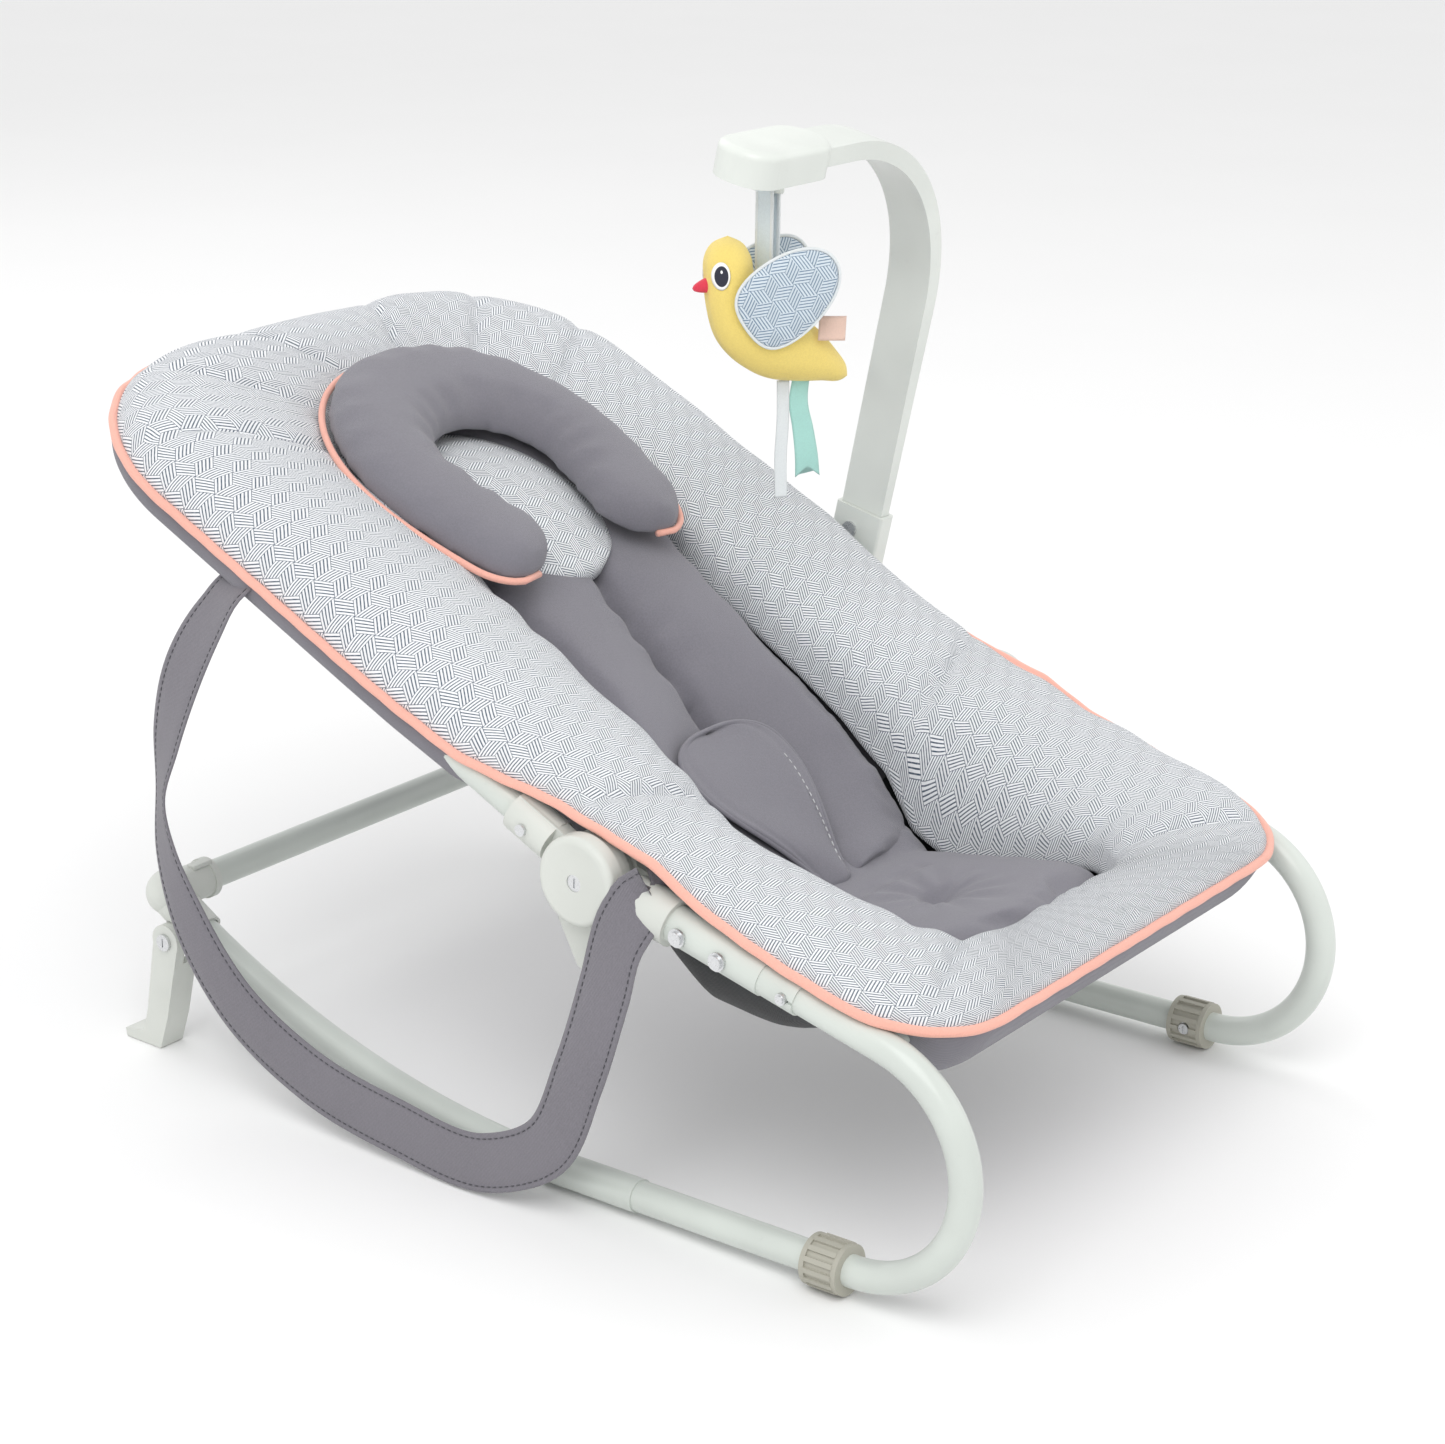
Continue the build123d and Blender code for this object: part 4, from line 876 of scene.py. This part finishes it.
# the hanging bird, in its own turned coordinates: x to the beak, z up
bird = {"turn": -32.0, "drop": 83.0, "wingX": -4, "wingZ": 20, "wingLong": 38, "wingShort": 25, "wingTilt": 36,
        "wingOut": 20.5, "eyeX": 34.5, "eyeZ": 34, "eyeHalf": 4.8, "eyeTall": 8.6, "headX": 25, "headR": 16.2,
        "beakX": 37.0, "beakZ": 27, "beakLong": 11.5, "beakR": 5.0}
hook = np.array([c / mm for c in joints["toy_swing"]["pos_m"]])


def toyPlace(x, y, z):
    # turn about the vertical, then set below the hook
    t = math.radians(bird["turn"])
    wx = -math.cos(t) * x + math.sin(t) * y
    wy = -math.sin(t) * x - math.cos(t) * y
    return np.stack(np.broadcast_arrays(hook[0] + wx, hook[1] + wy, hook[2] - bird["drop"] + z), -1) * mm


def birdBody():
    # oval sections carried along a curved spine from the tail's tip to the crown
    # each spine point: x, z, half height, half width
    spine = np.array([(-55, -36, 0.1, 0.1), (-52, -34.5, 4.5, 4.0), (-41, -28, 11, 10), (-23, -19, 19, 15),
                      (-3, -10, 23, 18), (14, 3, 21.5, 18), (22, 18, 17.5, 16.5), (25, 32, 15.5, 15.5),
                      (26, 43, 14.5, 14.5), (26, 51, 10, 10), (26, 56, 0.1, 0.1)], float)
    path = smoothPath(spine, 70)
    line = np.stack([path[:, 0], path[:, 1]], 1)
    step = np.gradient(line, axis=0)
    step /= np.linalg.norm(step, axis=1, keepdims=True)
    q = np.linspace(0, 2 * math.pi, 40, endpoint=False)
    nx, nz = -step[:, 1], step[:, 0]
    tall, wide = np.maximum(path[:, 2], 0.1), np.maximum(path[:, 3], 0.1)
    seam = 1 - 0.035 * np.exp(-(np.abs(np.sin(q)) / 0.10) ** 2)
    x = path[:, 0:1] + nx[:, None] * tall[:, None] * np.cos(q) * seam
    z = path[:, 1:2] + nz[:, None] * tall[:, None] * np.cos(q) * seam
    y = wide[:, None] * np.sin(q)
    body = surface("birdBody", toyPlace(x, y, z), False, True, merge=True, material=looks["toy_yellow"])
    subdivide(body)
    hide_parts("bird_body")
    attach(body, "toy")


def birdWing(side, name):
    # a flat quilted leaf with a drawn-in rim, printed both sides, and a pale overlocked edge
    r = np.linspace(0, 1, 14)[:, None]
    q = np.linspace(0, 2 * math.pi, 56, endpoint=False)[None, :]
    shape = 1 + 0.10 * np.cos(q) - 0.10 * np.cos(2 * q)
    u = -bird["wingLong"] * r * np.cos(q) * shape
    v = bird["wingShort"] * r * np.sin(q) * (1 - 0.14 * np.cos(q))
    tilt = math.radians(bird["wingTilt"])
    c, d = math.cos(tilt), math.sin(tilt)
    x, z = bird["wingX"] + u * c + v * d, bird["wingZ"] - u * d + v * c
    fat = 3.4 * np.sqrt(np.clip(1 - r ** 4, 0, 1)) * (1 - 0.35 * np.exp(-((r - 0.86) / 0.05) ** 2))
    out = bird["wingOut"] + 0.12 * np.clip(-x - 4, 0, 60)
    outer = toyPlace(x, side * (out + fat), z)
    inner = toyPlace(x, side * (out - fat * 0.8), z)[-2::-1]
    grid = np.concatenate([outer, inner])
    fu, fv = np.concatenate([u, u[-2::-1]]), np.concatenate([v, v[-2::-1]])
    uv = closedMap(fu, fv) * mm
    edge = toyPlace(x[-1], side * out[-1], z[-1])
    outward = np.tile(toyPlace(0, 1, 0) - toyPlace(0, 0, 0), (len(edge), 1)) / mm
    hem = roundCord(name + "Hem", edge, 1.0 * mm, 8, closed=True, side=outward, material=looks["white_ribbon"])
    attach(hem, "toy")
    wing = surface(name, grid, False, True, uv=uv, merge=True, material=looks["toy_print"])
    subdivide(wing)
    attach(wing, "toy")
    return wing


def eyeFinish():
    # white ring, dark iris and a small light spot, by distance from the patch's middle
    f = Finish("toy_eye", 0.55, specular=0.4)
    where = f.vector("SUBTRACT", f.coords(uv=True), (0.5, 0.5, 0))
    far = f.math("SQRT", f.vector("DOT_PRODUCT", where, where))
    spot = f.vector("SUBTRACT", where, (0.02, 0.16, 0))
    near = f.math("SQRT", f.vector("DOT_PRODUCT", spot, spot))
    base = f.mixColour(f.ramp(far, 0.36, 0.38), (0.02, 0.022, 0.04, 1), (0.9, 0.9, 0.88, 1))
    f.colour(f.mixColour(f.ramp(near, 0.05, 0.065), (0.95, 0.95, 0.95, 1), base))
    f.bump(f.noise(where, 60, 2), 0.00008)
    return f.material


def birdFace():
    # eye patches curved like the head, and a cone of felt for the beak
    finish = eyeFinish()
    for side, name in ((1, "birdEyeLeft"), (-1, "birdEyeRight")):
        r = np.linspace(0, 1, 10)[:, None]
        q = np.linspace(0, 2 * math.pi, 40, endpoint=False)[None, :]
        x = bird["eyeX"] + bird["eyeHalf"] * r * np.cos(q)
        z = bird["eyeZ"] + bird["eyeTall"] * r * np.sin(q)
        away = bird["headR"] ** 2 - (x - bird["headX"]) ** 2 - ((z - bird["eyeZ"]) * 0.45) ** 2
        away = np.sqrt(np.clip(away, 1, None))
        top = away + 0.5 - 0.5 * r ** 6
        seat = toyPlace(x[-1:] * 0.5 + 17.2, side * (top[-1:] - 1.5), z[-1:] * 0.5 + 17)  # the patch's hidden underside
        grid = np.concatenate([toyPlace(x, side * top, z), seat])
        fx = np.concatenate([r * np.cos(q), 0 * q]) * 0.5 + 0.5
        fz = np.concatenate([r * np.sin(q), 0 * q]) * 0.5 + 0.5
        uv = closedMap(fx, fz)
        eye = surface(name, grid, False, True, uv=uv, merge=True, material=finish)
        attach(eye, "toy")
    t = np.linspace(0, 1, 12)[:, None]
    q = np.linspace(0, 2 * math.pi, 24, endpoint=False)[None, :]
    size = bird["beakR"] * np.sqrt(np.clip(1 - t ** 1.3, 0, 1)) * np.where(t == 0, 0, 1)
    grid = toyPlace(bird["beakX"] + bird["beakLong"] * t + 0 * q, 0.8 * size * np.cos(q),
                    bird["beakZ"] - 2.0 * t + size * np.sin(q))
    beak = surface("birdBeak", grid, False, True, merge=True, material=looks["toy_red"])
    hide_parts("bird_beak")
    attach(beak, "toy")


def bandStrip(name, centres, widths, across, thick, material, notch=0.0):
    # a thin band: two skins half a thickness to each side of its middle surface
    a = np.linspace(-1, 1, 9)
    tangent, run = alongPath(centres)
    face = np.cross(tangent, across)
    face /= np.linalg.norm(face, axis=1, keepdims=True)
    mid = centres[:, None] + (widths[:, None] * a)[..., None] * across
    last = smooth((run - run[-1] + 14) / 14)[:, None]
    mid = mid + tangent[:, None] * (notch * (np.abs(a) - 1) * last)[..., None]
    grid = np.concatenate([mid + face[:, None] * thick / 2, (mid - face[:, None] * thick / 2)[:, ::-1]], 1) * mm
    strip = surface(name, grid, False, True, merge=False, material=material)
    bm = bmesh.new()
    bm.from_mesh(strip.data)
    edges = [e for e in bm.edges if e.is_boundary]
    bmesh.ops.holes_fill(bm, edges=edges, sides=0)
    bmesh.ops.recalc_face_normals(bm, faces=bm.faces)
    bm.to_mesh(strip.data)
    bm.free()
    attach(strip, "toy")
    return strip


def toyBands():
    # the folded hanging ribbon, the notched mint ribbon, the long white tape and the blank label
    y = hook[1]
    half = [(3.0, 508), (3.4, 535), (3.2, 556), (2.6, 564.5)]  # distance from the middle, height
    loop = [(hook[0] + d, y, z) for d, z in half] + [(hook[0], y, 566.6)] + [(hook[0] - d, y, z) for d, z in half[::-1]]
    line = smoothPath(loop, 90)
    acrossY = np.array([0.0, 1, 0])
    band = bandStrip("hangingRibbon", line, np.full(90, 6.3), acrossY, 0.8, looks["toy_ribbon"])
    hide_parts("toy_ribbon")
    t = math.radians(bird["turn"])
    own = np.array([-math.cos(t), -math.sin(t), 0])
    for name, shift in (("ribbonEdgeA", -5.6), ("ribbonEdgeB", 5.6)):
        bandStrip(name, line + [0, shift, 0], np.full(90, 0.9), acrossY, 1.3, looks["white_ribbon"])
    top = toyPlace(-24, 0, -34) / mm
    mint = smoothPath([top, top + [-1, 1, -16], top + [3, 0, -34], top + [6, -1, -52], top + [9, 0, -66]], 50)
    ribbon = bandStrip("mintRibbon", mint, 5.6 + 2.6 * np.linspace(0, 1, 50), own, 0.7, looks["mint_ribbon"],
                       notch=7.0)
    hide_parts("mint_ribbon")
    top = toyPlace(-12, 0, -36) / mm
    tape = smoothPath([top, top + [0.5, 0, -25], top + [-0.5, 0.5, -50], top + [0, 0, -75]], 50)
    tape = bandStrip("whiteTape", tape, np.full(50, 4.0), own, 1.0, looks["white_ribbon"])
    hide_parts("white_ribbon")
    a, b = toyPlace(-30, 12, -2) / mm, toyPlace(-46, 17, -2) / mm
    label = smoothPath([a, (a + b) / 2 + [0, -0.6, 0], b], 16)
    leaning = np.array([0.35, 0.2, 0.91])
    tag = bandStrip("blankLabel", label, np.full(16, 7.6), leaning / np.linalg.norm(leaning), 1.0,
                    looks["toy_tag"])
    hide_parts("toy_tag")


birdBody()
wings = [birdWing(1, "birdWingLeft"), birdWing(-1, "birdWingRight")]
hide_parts("bird_wings")
birdFace()
toyBands()
print("bird finished")

# stage: pale floor, soft lights, and the camera at the object's near right corner
stage = {"camera": (-1.4924, -1.1467, 0.8883), "azimuth": -52.953, "down": 19.41, "roll": 0.74, "lens": 78.0}


def setStage():
    floorFinish = Finish("pale_floor", 0.9)
    where = floorFinish.coords()
    slow = floorFinish.noise(where, 3, 2)
    floorFinish.colour(floorFinish.mixColour(slow, (0.88, 0.88, 0.88, 1), (0.90, 0.90, 0.90, 1)))
    reach = np.linspace(-60, 60, 2)
    gx, gy = np.meshgrid(reach, reach, indexing="ij")
    floor = surface("floor", np.stack([gx, gy, 0 * gx - 0.0005], -1), material=floorFinish.material)
    world = bpy.data.worlds.new("studio")
    bpy.context.scene.world = world
    world.use_nodes = True
    world.node_tree.nodes["Background"].inputs[0].default_value = (1, 1, 1, 1)
    world.node_tree.nodes["Background"].inputs[1].default_value = 0.92
    for name, place, size, power in (("keyLight", (-1.6, -0.9, 2.4), 2.0, 34),
                                     ("fillLight", (1.8, -1.8, 1.6), 2.4, 8),
                                     ("backLight", (0.6, 2.4, 2.2), 2.0, 12)):
        data = bpy.data.lights.new(name, "AREA")
        data.size = size
        data.energy = power
        lamp = bpy.data.objects.new(name, data)
        lamp.location = place
        aim = np.array([0, 0, 0.25]) - np.array(place)
        lamp.rotation_euler = Vector(aim.tolist()).to_track_quat("-Z", "Y").to_euler()
        bpy.context.scene.collection.objects.link(lamp)
    az, down, roll = (math.radians(stage[k]) for k in ("azimuth", "down", "roll"))
    ahead = np.array([-math.sin(az) * math.cos(down), math.cos(az) * math.cos(down), -math.sin(down)])
    right = np.array([math.cos(az), math.sin(az), 0])
    up = np.cross(right, ahead)
    right, up = right * math.cos(roll) + up * math.sin(roll), up * math.cos(roll) - right * math.sin(roll)
    data = bpy.data.cameras.new("camera")
    data.lens = stage["lens"]
    data.clip_end = 200
    camera = bpy.data.objects.new("camera", data)
    rows = [[right[k], up[k], -ahead[k], stage["camera"][k]] for k in range(3)]
    camera.matrix_world = Matrix(rows + [[0, 0, 0, 1]])
    bpy.context.scene.collection.objects.link(camera)
    bpy.context.scene.camera = camera
    bpy.context.scene.view_settings.view_transform = "Standard"


setStage()
print("stage set")

import json
